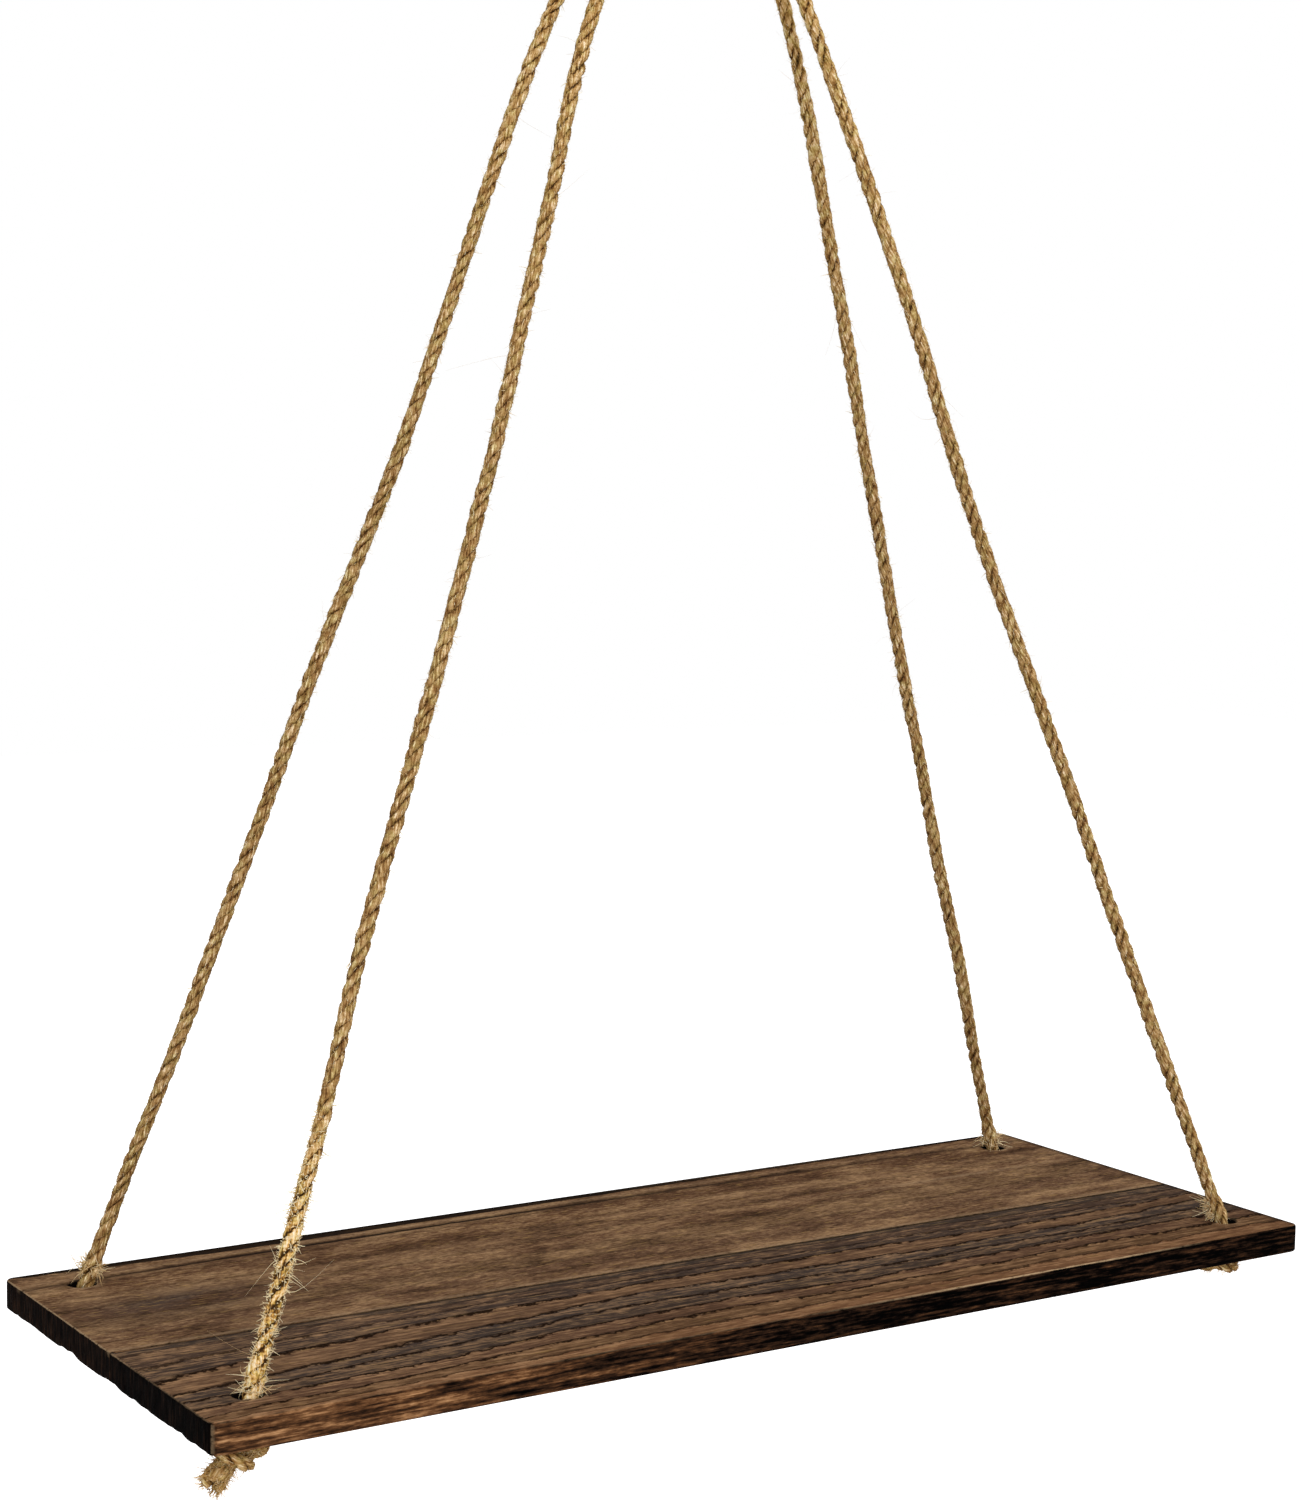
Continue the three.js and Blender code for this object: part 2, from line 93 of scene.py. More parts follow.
@dataclass(frozen=True)
class ShelfSizes:
    """The shelf's sizes, in millimetres from the ceiling."""

    clearance: float = 0.3
    knot_gap: float = 0.5
    board_length: float = 430
    board_width: float = 168
    board_thickness: float = 10
    corner_radius: float = 3
    arris: float = 0.8
    front_stave_width: float = 72.5
    glue_line_drift: float = 5.9
    hole_diameter: float = 9
    hole_end_inset: float = 20
    hole_edge_inset: float = 18.5
    rope_diameter: float = 5
    squeezed_diameter: float = 4.4
    rope_lean: float = 1.1
    foot_lean: float = 0.9
    foot_overrun: float = 14
    leg_sag: float = 7.8
    pivot_above_board: float = 552
    wire_diameter: float = 4
    hook_inner_radius: float = 12
    neck_angle: float = math.pi / 3
    tip_angle: float = math.radians(145)
    shank_length: float = 9
    screw_length: float = 26
    screw_tip_length: float = 7
    collar_diameter: float = 16
    collar_thickness: float = 2.5
    collar_rim: float = 1.1
    loop_drop: float = 26
    ball_radius: float = 9
    leg_bend: float = 45
    frayed_height: float = 85
    glue_gap: float = 0.1
    glue_arris: float = 0.18
    hole_arris: float = 0.7

    @property
    def hook_radius(self) -> float:
        """The radius of the hook wire's middle line."""
        return self.hook_inner_radius + self.wire_diameter / 2

    @property
    def neck_radius(self) -> float:
        """The radius of the neck's bend, which meets the hook's round part smoothly."""
        bend = math.cos(self.neck_angle)
        return self.hook_radius * bend / (1 - bend)

    @property
    def hook_centre(self) -> float:
        """The height of the middle of the hook's round part."""
        fall = (self.neck_radius + self.hook_radius) * math.sin(self.neck_angle)
        return -self.shank_length - fall

    @property
    def hook_seat(self) -> float:
        """The height of the wire's middle where the ropes hang on it."""
        return self.hook_centre - self.hook_radius

    @property
    def rope_pitch(self) -> float:
        """The distance between the middles of two loose ropes side by side."""
        return self.rope_diameter + self.clearance

    @property
    def bight_radius(self) -> float:
        """The radius of a rope's bight over the hook's wire."""
        seat = self.hook_inner_radius - self.rope_diameter / 2 - self.clearance
        return self.hook_radius - math.sqrt(seat**2 - (self.rope_pitch / 2) ** 2)

    @property
    def squeezed_pitch(self) -> float:
        """The distance between the middles of two ropes in the gathering knot."""
        return self.squeezed_diameter + self.knot_gap

    @property
    def bundle_diameter(self) -> float:
        """The size across the four ropes together in the gathering knot."""
        return self.squeezed_pitch * math.sqrt(2) + self.squeezed_diameter

    @property
    def gather_scale(self) -> float:
        """The size of one share of the gathering knot's route."""
        return (self.bundle_diameter + self.knot_gap) / OVERHAND_SPACING_SHARE

    @property
    def stopper_scale(self) -> float:
        """The size of one share of a stopper knot's route."""
        return (self.squeezed_diameter + self.knot_gap) / OVERHAND_SPACING_SHARE

    @property
    def knot_reach(self) -> float:
        """Half the height of the gathering knot."""
        return OVERHAND_REACH_SHARE * self.gather_scale + self.bundle_diameter / 2

    @property
    def knot_top(self) -> float:
        """The height at which the bights enter the gathering knot."""
        return self.hook_seat - self.loop_drop

    @property
    def knot_centre(self) -> float:
        """The height of the gathering knot's middle."""
        return self.knot_top - self.knot_reach

    @property
    def pivot(self) -> float:
        """The height about which the legs bend where they leave the gathering knot."""
        return self.knot_centre - self.knot_reach

    @property
    def board_top(self) -> float:
        """The height of the board's upper face."""
        return self.pivot - self.pivot_above_board

    @property
    def board_underside(self) -> float:
        """The height of the board's lower face."""
        return self.board_top - self.board_thickness


OVERHAND_SPACING_SHARE = 1.02
OVERHAND_LEAD_SHARE = 1.4
OVERHAND_REACH_SHARE = 1.3
STOPPER_SHIFT_SHARE = 1.2
HALF_OVERHAND_SHARES = (
    (0, 0.95, 0), (-0.7, 0.85, -0.5), (-1.15, 0.35, -1.05),
    (-1.05, -0.5, -1.3), (-0.45, -1.1, -1.1), (0.25, -1.15, -0.6),
    (0.58, -0.65, 0), (0.3, -0.12, 0.58), (0.02, 0, 1.4),
)
LEG_ROUTE_SHARES = (
    *((along, 0) for along in (0.02, 0.06, 0.12, 0.2, 0.3, 0.4, 0.5, 0.6, 0.7)),
    (0.78, 0.04), (0.84, 0.18), (0.89, 0.38), (0.93, 0.61), (0.96, 0.82), (0.985, 1), (1, 1),
)


@dataclass(frozen=True)
class Corner:
    """One rope end: its corner of the board, its leg's aim and how its stopper knot lies.

    Its wisps of loose fibre stand between two heights above the board, so many of them, and its
    tip frays into so many. Its strands open over a length at the tip by a share of their place.
    Its leg strays from its plain line by the drifts, in millimetres to the right as the photograph
    shows it, at even steps above the board. Wisps that lean to one side have its azimuth as fan.
    """

    side: Side
    end: End
    aim: tuple[float, float]
    tilt: float
    turn: float
    tail: float
    wisps: tuple[float, float, int]
    fray: int
    opening: tuple[float, float]
    drifts: tuple[float, ...]
    fan: float | None = None

    @property
    def name(self) -> str:
        """The start of the names of this rope end's pieces."""
        return f"{self.side.name.lower()}_rope_{self.end.name.lower()}"

    @property
    def bleached(self) -> bool:
        """Whether this leg's low part is paler and more frayed than the others'."""
        return self.side is Side.LEFT and self.end is End.FRONT


DRIFT_STEP = 40
CORNERS = (
    Corner(
        Side.RIGHT, End.REAR, aim=(5.9, 0.3), tilt=0.7, turn=2.6, tail=7,
        wisps=(2, 6, 45), fray=90, opening=(5, 0.45),
        drifts=(0, 0, 0.7, -0.3, -0.1, -0.7, -0.4, -0.2, 0.5, 0.3, 0.7, 0),
    ),
    Corner(
        Side.LEFT, End.REAR, aim=(-6.7, 5.1), tilt=0.6, turn=3.4, tail=5,
        wisps=(2.5, 7, 80), fray=90, opening=(5, 0.45),
        drifts=(0, -0.2, 0.6, 0.5, 0.6, 0.1, 1.4, 2.5, 1.7, 0.8, -0.1, 0),
    ),
    Corner(
        Side.LEFT, End.FRONT, aim=(-8.5, 0.6), tilt=1.1, turn=0.52, tail=7,
        wisps=(0, 4, 20), fray=420, opening=(10, 0.8),
        drifts=(0, 0, 0.2, -0.9, -0.2, 0.9, 1.6, 2.0, 1.1, 0.7, -1.1, 0),
    ),
    Corner(
        Side.RIGHT, End.FRONT, aim=(-6.1, 4.3), tilt=1.0, turn=4.45, tail=3,
        wisps=(1, 7, 60), fray=15, opening=(4, 0.2),
        drifts=(0, 0, 0, -0.2, 0, -0.9, -1.8, -1.4, 0.2, -0.1, -0.2, 0),
        fan=2.57,
    ),
)


def curved(points: list[np.ndarray], spacing: float, per_span: int = 40) -> np.ndarray:
    """Place points at even distances along the centripetal Catmull-Rom curve through chosen points.

    Args:
        points: the points that the curve passes through, in order.
        spacing: about how far apart the new points are.
        per_span: the steps in which each span is worked out.

    Returns:
        The new points, one per row.
    """
    p = np.array(points, dtype=float)
    p = np.vstack((2 * p[0] - p[1], p, 2 * p[-1] - p[-2]))
    t = np.linspace(0, 1, per_span, endpoint=False)[:, None]
    spans = []
    for a, b, c, d in zip(p[:-3], p[1:-2], p[2:-1], p[3:]):
        before, here, after = [math.sqrt(np.linalg.norm(v)) for v in (b - a, c - b, d - c)]
        start = ((b - a) / before - (c - a) / (before + here) + (c - b) / here) * here
        stop = ((c - b) / here - (d - b) / (here + after) + (d - c) / after) * here
        square = 3 * (c - b) - 2 * start - stop
        cube = 2 * (b - c) + start + stop
        spans.append(b + start * t + square * t**2 + cube * t**3)
    return evenly(np.vstack((*spans, p[-2])), spacing)


def walked(points: np.ndarray) -> np.ndarray:
    """Give how far along a chain of points each of them lies."""
    steps = np.linalg.norm(np.diff(points, axis=0), axis=1)
    return np.concatenate(((0.0,), np.cumsum(steps)))


def evenly(points: np.ndarray, spacing: float) -> np.ndarray:
    """Place points along a chain of points at even distances.

    Args:
        points: the chain.
        spacing: about how far apart the new points are.

    Returns:
        The new points, one per row.
    """
    along = walked(points)
    count = max(2, round(along[-1] / spacing) + 1)
    places = np.linspace(0, along[-1], count)
    return np.column_stack([np.interp(places, along, points[:, k]) for k in range(3)])


def unit(rows: np.ndarray) -> np.ndarray:
    """Bring each row, which is a direction, to a length of one."""
    return rows / np.linalg.norm(rows, axis=1)[:, None]


def transported(points: np.ndarray) -> tuple[np.ndarray, np.ndarray, np.ndarray]:
    """Carry a pair of cross directions along a line without twist.

    Args:
        points: points along the line.

    Returns:
        The line's directions and its two cross directions at each point.
    """
    ahead = unit(np.gradient(points, axis=0))
    normal = np.cross(ahead[0], (0.0, 1.0, 0.0))
    if np.linalg.norm(normal) < 0.1:
        normal = np.cross(ahead[0], (1.0, 0.0, 0.0))
    normals = np.zeros_like(points)
    normals[0] = normal / np.linalg.norm(normal)
    for i in range(1, len(points)):
        n = normals[i - 1] - ahead[i] * np.dot(normals[i - 1], ahead[i])
        normals[i] = n / np.linalg.norm(n)
    return ahead, normals, np.cross(ahead, normals)


def tube_rings(
    line: np.ndarray, first: np.ndarray, second: np.ndarray, across: np.ndarray, along: np.ndarray
) -> np.ndarray:
    """Place rings of points round a line.

    Args:
        line: the middle of each ring.
        first: each ring's first cross direction.
        second: its second cross direction.
        across: how far each of its points lies along the first.
        along: how far each of its points lies along the second.

    Returns:
        The points, by ring and then by place round it.
    """
    return line[:, None, :] + across[..., None] * first[:, None, :] + along[..., None] * second[:, None, :]


def hump(places: np.ndarray, middle: float, reach: float, height: float = 1.0) -> np.ndarray:
    """Give a smooth hump.

    Args:
        places: the places asked for.
        middle: the place of its top.
        reach: how far from there it has fallen to about a third.
        height: the height of its top.

    Returns:
        Its height at each place.
    """
    return height * np.exp(-(((places - middle) / reach) ** 2))


@dataclass(frozen=True)
class KnottedLines:
    """The lines that the ropes follow, worked out from the shelf's sizes."""

    sizes: ShelfSizes

    def overhand(self, scale: float) -> list[np.ndarray]:
        """Give an overhand knot's points from its upper lead to its lower lead.

        Args:
            scale: the size of one share, in millimetres.

        Returns:
            The points about the knot's middle.
        """
        upper = [np.array(p, dtype=float) for p in HALF_OVERHAND_SHARES]
        lower = [p * (-1, 1, -1) for p in upper[1:]]
        return [p * scale for p in upper[::-1] + lower]

    def hole(self, corner: Corner) -> np.ndarray:
        """Give the middle of a corner's hole on the board's upper face.

        Args:
            corner: the corner.

        Returns:
            The point.
        """
        s = self.sizes
        x = corner.side.value * (s.board_length / 2 - s.hole_end_inset)
        y = corner.end.value * (s.board_width / 2 - s.hole_edge_inset)
        return np.array((x, y, s.board_top))

    def leaning(self, corner: Corner, lean: float, height: float) -> np.ndarray:
        """Give a point at a hole, moved inwards along the leg's way.

        Args:
            corner: the hole's corner.
            lean: how far the point lies inwards of the hole's middle.
            height: the point's height.

        Returns:
            The point.
        """
        point = self.hole(corner)
        inwards = np.array((*corner.aim, 0.0)) - (point[0], point[1], 0.0)
        point = point + inwards / np.linalg.norm(inwards) * lean
        point[2] = height
        return point

    def leg(self, corner: Corner) -> np.ndarray:
        """Give close points on a leg, from the board's underside up to the gathering knot.

        Args:
            corner: the leg's corner.

        Returns:
            The points, one per row.
        """
        s = self.sizes
        foot = self.leaning(corner, s.rope_lean, s.board_top)
        line = np.array((*corner.aim, s.pivot))
        side, end = corner.side.value, corner.end.value
        stub = np.array((side * s.rope_pitch / 2, end * s.rope_pitch / 2, 0))
        low = s.board_underside
        points = [
            self.leaning(corner, -s.foot_lean, low - s.foot_overrun),
            self.leaning(corner, -s.foot_lean, low + s.board_thickness / 4),
            foot,
        ]
        for along, joined in LEG_ROUTE_SHARES:
            point = foot + (line - foot) * along
            point[:2] += (stub[:2] - point[:2]) * joined
            point[2] -= 4 * s.leg_sag * along * (1 - along)
            points.append(point)
        chain = curved(points, 1.0)
        apart = np.linalg.norm(chain - (0, 0, s.pivot), axis=1)
        return chain[(chain[:, 2] >= low) & (apart >= s.ball_radius + s.clearance / 2)]

    def stopper(self, corner: Corner) -> np.ndarray:
        """Give close points on a stopper knot, from the board's underside to the rope's end.

        Args:
            corner: the knot's corner.

        Returns:
            The points, one per row.
        """
        s = self.sizes
        turn = Matrix.Rotation(corner.turn, 3, "Z") @ Matrix.Rotation(corner.tilt, 3, "Y")
        lay = np.array(turn)
        knot = [lay @ p for p in self.overhand(s.stopper_scale)[1:]]
        tail = lay @ -Z_AXIS
        rise = max(curved(knot, 0.3)[:, 2]) + s.squeezed_diameter / 2
        top = self.leaning(corner, -s.foot_lean, s.board_underside + CUT_OVERRUN)
        centre = top + tail * STOPPER_SHIFT_SHARE * s.stopper_scale
        centre[2] = s.board_underside - s.clearance - rise
        knot = [p + centre for p in knot]
        knot.append(knot[-1] + tail * corner.tail)
        chain = curved([top, *knot], 0.5)
        start = np.argmax(chain[:, 2] < s.board_underside - s.clearance)
        return chain[start:]

    def bight(self, side: Side) -> np.ndarray:
        """Give close points on a rope's bight over the hook, from its front to its rear.

        Args:
            side: the rope's side.

        Returns:
            The points, one per row.
        """
        s = self.sizes
        half, radius = s.rope_pitch / 2, s.bight_radius
        reach = radius - half
        down = (
            (radius, -0.2 * s.loop_drop),
            (radius - 0.3 * reach, -0.45 * s.loop_drop),
            (radius - 0.8 * reach, -0.75 * s.loop_drop),
            (half, -s.loop_drop - CUT_OVERRUN),
        )
        arc = [math.pi * (1 - i / 8) for i in range(9)]
        profile = [(-y, z) for y, z in reversed(down)]
        profile += [(radius * math.cos(a), radius * math.sin(a)) for a in arc]
        profile += down
        points = [np.array((side.value * s.rope_pitch / 2, y, s.hook_seat + z)) for y, z in profile]
        chain = curved(points, 0.5)
        return chain[chain[:, 2] >= s.knot_top]

    def gathered(self, corner: Corner) -> np.ndarray:
        """Give close points on one rope's way through the gathering knot, from its top down.

        Args:
            corner: the corner to which it goes.

        Returns:
            The points, one per row.
        """
        s = self.sizes
        lead = OVERHAND_LEAD_SHARE * s.gather_scale
        heights = ((s.knot_reach + lead) / 2, s.knot_reach + CUT_OVERRUN)
        points = self.overhand(s.gather_scale)
        for z in heights:
            points.insert(0, np.array((0, 0, z)))
        for more in (0, s.ball_radius / 2, s.ball_radius + CUT_OVERRUN):
            points.append(np.array((0, 0, -s.knot_reach - more)))
        bundle = curved(points, 0.5)
        _, first, second = transported(bundle)
        start = math.atan2(first[0][1], first[0][0])
        turned = math.atan2(first[-1][1], first[-1][0]) - start
        spare = turned - math.tau * round(turned / math.tau)
        place = math.atan2(corner.end.value, corner.side.value)
        angle = start - place + spare * np.linspace(0, 1, len(bundle))[:, None]
        radius = s.squeezed_pitch / 2 * math.sqrt(2)
        chain = bundle + radius * (np.cos(angle) * first + np.sin(angle) * second)
        chain[:, 2] += s.knot_centre
        chain = chain[chain[:, 2] <= s.knot_top - s.clearance]
        apart = np.linalg.norm(chain - (0, 0, s.pivot), axis=1)
        return chain[(chain[:, 2] > s.pivot) | (apart < s.ball_radius)]


@dataclass
class Stretch:
    """A stretch of a rope that is a piece of its own: its name and its first and last ring."""

    name: str
    start: int
    stop: int

    @property
    def rings(self) -> slice:
        """The stretch's rings among the rope's."""
        return slice(self.start, self.stop + 1)


class NoiseRow(IntEnum):
    """The rows of noise along a rope, with room after each for one per axis or strand."""

    WANDER = 0
    LAY = 9
    STRAND_LAY = 10
    DEPTH = 20
    WIDTH = 30
    GIRTH = 40
    CURLS = 50


@dataclass
class Rope:
    """One whole rope, from stopper knot to stopper knot, laid up from three twisted strands.

    Lengths are in millimetres and shares are of the rope's thickness. A swell is by how much
    something varies along the rope, and how long one swell is. The yarns' fluff has an amount, its
    tufts to a yarn and their length, the opening at the foot a middle above the board, a reach and
    an amount, and the paling of the upper legs towards the top a most, the height where it starts
    and its run.
    """

    sizes: ShelfSizes
    side: Side
    strands: int = 3
    sides: int = 24
    ring_spacing: float = 0.8
    lay_length: float = 17.0
    offset_share: float = 0.267
    depth_share: float = 0.232
    width_share: float = 0.295
    fullness: float = 1.04
    yarns: int = 4
    yarn_twist: float = 0.85
    yarn_groove: float = 0.3
    yarn_fluff: tuple[float, float, float] = (0.07, 1.6, 2.6)
    dome: float = 2.5
    swelling: float = 0.7
    spreading: float = 0.6
    foot_opening: tuple[float, float, float] = (4.5, 4.0, 0.3)
    squeeze_run: float = 8
    join_blur: float = 4
    join_reach: float = 6
    wander: tuple[float, float] = (0.16, 11)
    lay_swell: tuple[float, float] = (0.3, 24)
    strand_swell: tuple[float, float] = (0.12, 8)
    girth_swell: tuple[float, float] = (0.09, 22)
    depth_swell: tuple[float, float] = (0.3, 6)
    width_swell: tuple[float, float] = (0.45, 5)
    crest_start: float = 0.6
    upper_paleness: tuple[float, float, float] = (0.55, 280, 230)
    knot_bleach: float = 0.2
    step: float = field(init=False)
    points: np.ndarray = field(init=False)
    stretches: list[Stretch] = field(init=False)
    flare: np.ndarray = field(init=False)
    tight: np.ndarray = field(init=False)

    def __post_init__(self) -> None:
        """Join the lines of the rope's stretches into one even line with one twist."""
        self.lay_out()
        self.smooth_joins()
        self.open_up()
        for axis in range(3):
            self.points[:, axis] += self.unevenness(self.wander, NoiseRow.WANDER + axis)
        self.stray()
        self.ahead, self.normal, self.cross = transported(self.points)
        s = self.sizes
        thin = s.squeezed_diameter / s.rope_diameter
        full = self.fullness + self.unevenness(self.girth_swell, NoiseRow.GIRTH) * (1 - self.tight)
        self.radius = s.rope_diameter / 2 * full * (1 - self.tight * (1 - thin))
        self.reach = self.radius * (1 + self.spreading * self.flare)

    def ends(self) -> tuple[Corner, Corner]:
        """Give the rope's front and rear corners."""
        mine = {c.end: c for c in CORNERS if c.side is self.side}
        return mine[End.FRONT], mine[End.REAR]

    @property
    def along(self) -> np.ndarray:
        """How far along the rope each ring lies."""
        return np.arange(len(self.points)) * self.step

    def lay_out(self) -> None:
        """Lay the rope's stretches end to end as one line of even rings."""
        lines = KnottedLines(self.sizes)
        front, rear = self.ends()
        parts = {
            f"{front.name}_stopper_knot": lines.stopper(front)[::-1],
            f"{front.name}_leg": lines.leg(front),
            f"{front.name}_knot_strand": lines.gathered(front)[::-1],
            f"{self.side.name.lower()}_rope_bight": lines.bight(self.side),
            f"{rear.name}_knot_strand": lines.gathered(rear),
            f"{rear.name}_leg": lines.leg(rear)[::-1],
            f"{rear.name}_stopper_knot": lines.stopper(rear),
        }
        chain = np.vstack(list(parts.values()))
        lengths = walked(chain)
        self.points = evenly(chain, self.ring_spacing)
        last = len(self.points) - 1
        self.step = lengths[-1] / last
        edges = np.cumsum([len(part) for part in parts.values()])
        marks = [0, *(round(lengths[edge - 1] / self.step) for edge in edges[:-1]), last]
        self.stretches = [Stretch(*row) for row in zip(parts, marks, marks[1:])]

    def smooth_joins(self) -> None:
        """Round off the line where two stretches meet."""
        spread = self.join_blur / self.step
        soft = np.column_stack([blurred(self.points[:, k], spread) for k in range(3)])
        index = np.arange(len(self.points))
        weight = np.zeros(len(self.points))
        for stretch in self.stretches[1:]:
            weight = np.maximum(weight, hump((index - stretch.start) * self.step, 0, self.join_reach))
        weight = weight[:, None]
        self.points = self.points * (1 - weight) + soft * weight

    def open_up(self) -> None:
        """Squeeze the rope in its knots, and open its strands at its tips and over its holes."""
        front, rear = self.ends()
        tight, loose, self.flare = np.zeros((3, len(self.points)))
        for stretch in self.stretches:
            tight[stretch.rings] = float("knot" in stretch.name)
        for corner, far in ((front, self.along), (rear, self.along[::-1])):
            length, opening = corner.opening
            loose += hump(far, 0, length)
            self.flare += hump(far, 0, length, opening)
        self.flare += hump(self.points[:, 2] - self.sizes.board_top, *self.foot_opening)
        self.tight = blurred(tight, self.squeeze_run / self.step) * (1 - loose)

    def unevenness(self, swell: tuple[float, float], row: int) -> np.ndarray:
        """Give smooth noise along the rope.

        Args:
            swell: the greatest amount, and about how long one swell is.
            row: a number that tells this noise from the others.

        Returns:
            The amount at each ring, above or below nought.
        """
        most, length = swell
        along = self.along / length
        return most * noise_row(along, np.full_like(along, 3.7 * row + 0.4), 5.3 * self.side.value)

    def stray(self) -> None:
        """Move the legs off their plain lines, as the photograph shows them."""
        azimuth = ViewSizes.azimuth
        aside = np.array((math.cos(azimuth), math.sin(azimuth), 0.0))
        for corner in self.ends():
            part = self.stretch(f"{corner.name}_leg").rings
            rise = self.points[part, 2] - self.sizes.board_top
            steps = DRIFT_STEP * np.arange(len(corner.drifts))
            self.points[part] += smooth_line(steps, corner.drifts, rise)[:, None] * aside

    def stretch(self, name: str) -> Stretch:
        """Find one of the rope's stretches by its name."""
        return next(s for s in self.stretches if s.name == name)

    def bleach(self) -> np.ndarray:
        """Say how pale each ring is: the upper legs a little, rising towards the top, and the bleached foot
        of one fully.

        Returns:
            The share for each ring, from 0 to 1.
        """
        s = self.sizes
        rise = self.points[:, 2] - s.board_top
        most, start, run = self.upper_paleness
        pale = most * np.clip((rise - start) / run, 0, 1)
        for corner in self.ends():
            if corner.bleached:
                leg = self.stretch(f"{corner.name}_leg")
                part = slice(0, leg.stop + 1)
                foot = np.clip((s.frayed_height - rise[part]) / (0.5 * s.frayed_height), 0, 1)
                pale[part] = np.maximum(pale[part], foot)
                pale[: leg.start] = self.knot_bleach
        return pale

    def line(self, name: str) -> np.ndarray:
        """Give a stretch's middle line, in metres."""
        return self.points[self.stretch(name).rings] * MM

    def strand_line(self, strand: int) -> tuple[np.ndarray, np.ndarray, np.ndarray]:
        """Work out the middle line of one strand.

        Args:
            strand: which of the strands.

        Returns:
            Its points, and its cross directions away from the rope's middle and round it.
        """
        theta = math.tau * (self.along / self.lay_length + strand / self.strands)
        together = self.unevenness(self.lay_swell, NoiseRow.LAY)
        theta += together + self.unevenness(self.strand_swell, NoiseRow.STRAND_LAY + strand)
        out = np.cos(theta)[:, None] * self.normal + np.sin(theta)[:, None] * self.cross
        offset = self.radius * 2 * self.offset_share * (1 + self.flare)
        centre = self.points + out * offset[:, None]
        ahead = unit(np.gradient(centre, axis=0))
        first = unit(out - ahead * np.sum(out * ahead, axis=1)[:, None])
        return centre, first, np.cross(ahead, first)

    def plied(self, strand: int, angle: np.ndarray) -> np.ndarray:
        """Say how far the yarns of a strand stand out.

        Args:
            strand: which of the strands.
            angle: places round the strand.

        Returns:
            The share of the strand's radius, by ring and then by place round it.
        """
        along = self.along[:, None]
        turn = self.yarn_turn(angle, along) * self.yarns
        ply = 1 - self.yarn_groove * (1 - np.abs(np.sin(math.pi * turn)))
        amount, to_a_yarn, length = self.yarn_fluff
        across, down = np.broadcast_arrays(turn * to_a_yarn, along / length)
        fluff = noise_row(across.ravel(), down.ravel(), 3.0 + strand).reshape(ply.shape)
        return ply * (1 + amount * fluff)

    def rings(self, strand: int) -> tuple[np.ndarray, np.ndarray]:
        """Work out one strand's rings along the whole rope.

        Args:
            strand: which of the strands.

        Returns:
            The rings' points, by ring and then by place round it, and how far each point stands
            out of the rope's grooves, from 0 to 1.
        """
        angle = self.place(np.arange(self.sides))[None, :]
        ply = self.plied(strand, angle)
        away = np.minimum(self.along, self.along[-1] - self.along)
        domed = np.sqrt(np.clip(1 - (1 - np.minimum(away / self.dome, 1)) ** 2, 0.02, 1))
        swell = 2 * self.radius * (1 + self.swelling * self.flare) * domed
        deeper = self.unevenness(self.depth_swell, NoiseRow.DEPTH + strand)
        wider = self.unevenness(self.width_swell, NoiseRow.WIDTH + strand)
        depth = swell * self.depth_share * (1 + deeper)
        width = swell * self.width_share * (1 + wider)
        across, round_it = depth[:, None] * ply * np.cos(angle), width[:, None] * ply * np.sin(angle)
        points = tube_rings(*self.strand_line(strand), across, round_it)
        spread = points - self.points[:, None, :]
        level = np.sum(spread * self.ahead[:, None, :], axis=2)
        apart = np.linalg.norm(spread - level[..., None] * self.ahead[:, None, :], axis=2)
        crest = (apart / self.reach[:, None] - self.crest_start) / (1 - self.crest_start)
        return points, np.clip(crest + (1 - away / self.dome)[:, None].clip(0, 1), 0, 1)

    def place(self, number: np.ndarray) -> np.ndarray:
        """Give the angle of a ring's points, from inside the rope round to inside it again."""
        return math.tau * number / self.sides - math.pi

    def yarn_turn(self, angle: np.ndarray, along: np.ndarray) -> np.ndarray:
        """Give the turns round a strand, counted along its yarns, which twist against its lay.

        Args:
            angle: places round the strand.
            along: places along the rope, in millimetres.

        Returns:
            The turns, which stay the same along one yarn.
        """
        return (angle + self.yarn_twist * along) / math.tau


def blurred(values: np.ndarray, spread: float) -> np.ndarray:
    """Smooth a row of values.

    Args:
        values: the row.
        spread: the standard deviation of the smoothing, in places.

    Returns:
        The smoothed row, as long as before.
    """
    reach = max(1, round(3 * spread))
    kernel = np.exp(-0.5 * (np.arange(-reach, reach + 1) / spread) ** 2)
    kernel /= kernel.sum()
    padded = np.pad(values, reach, mode="edge")
    return np.convolve(padded, kernel, mode="valid")


def placed(name: str, data: bpy.types.ID) -> bpy.types.Object:
    """Make an object and put it in the scene.

    Args:
        name: the object's name.
        data: its mesh, lamp or camera.

    Returns:
        The new object.
    """
    obj = bpy.data.objects.new(name, data)
    bpy.context.scene.collection.objects.link(obj)
    return obj


def mesh_object(name: str, verts: np.ndarray, faces: np.ndarray) -> bpy.types.Object:
    """Make an object from points and faces with a known number of corners.

    Args:
        name: the object's name.
        verts: the points, in metres, one per row.
        faces: the corners of each face, one face per row.

    Returns:
        The new object.
    """
    mesh = bpy.data.meshes.new(name)
    mesh.vertices.add(len(verts))
    mesh.vertices.foreach_set("co", verts.astype(np.float32).ravel())
    mesh.loops.add(faces.size)
    mesh.loops.foreach_set("vertex_index", faces.astype(np.int32).ravel())
    mesh.polygons.add(len(faces))
    starts = np.arange(0, faces.size, faces.shape[1], dtype=np.int32)
    mesh.polygons.foreach_set("loop_start", starts)
    mesh.update(calc_edges=True)
    mesh.validate()
    return placed(name, mesh)


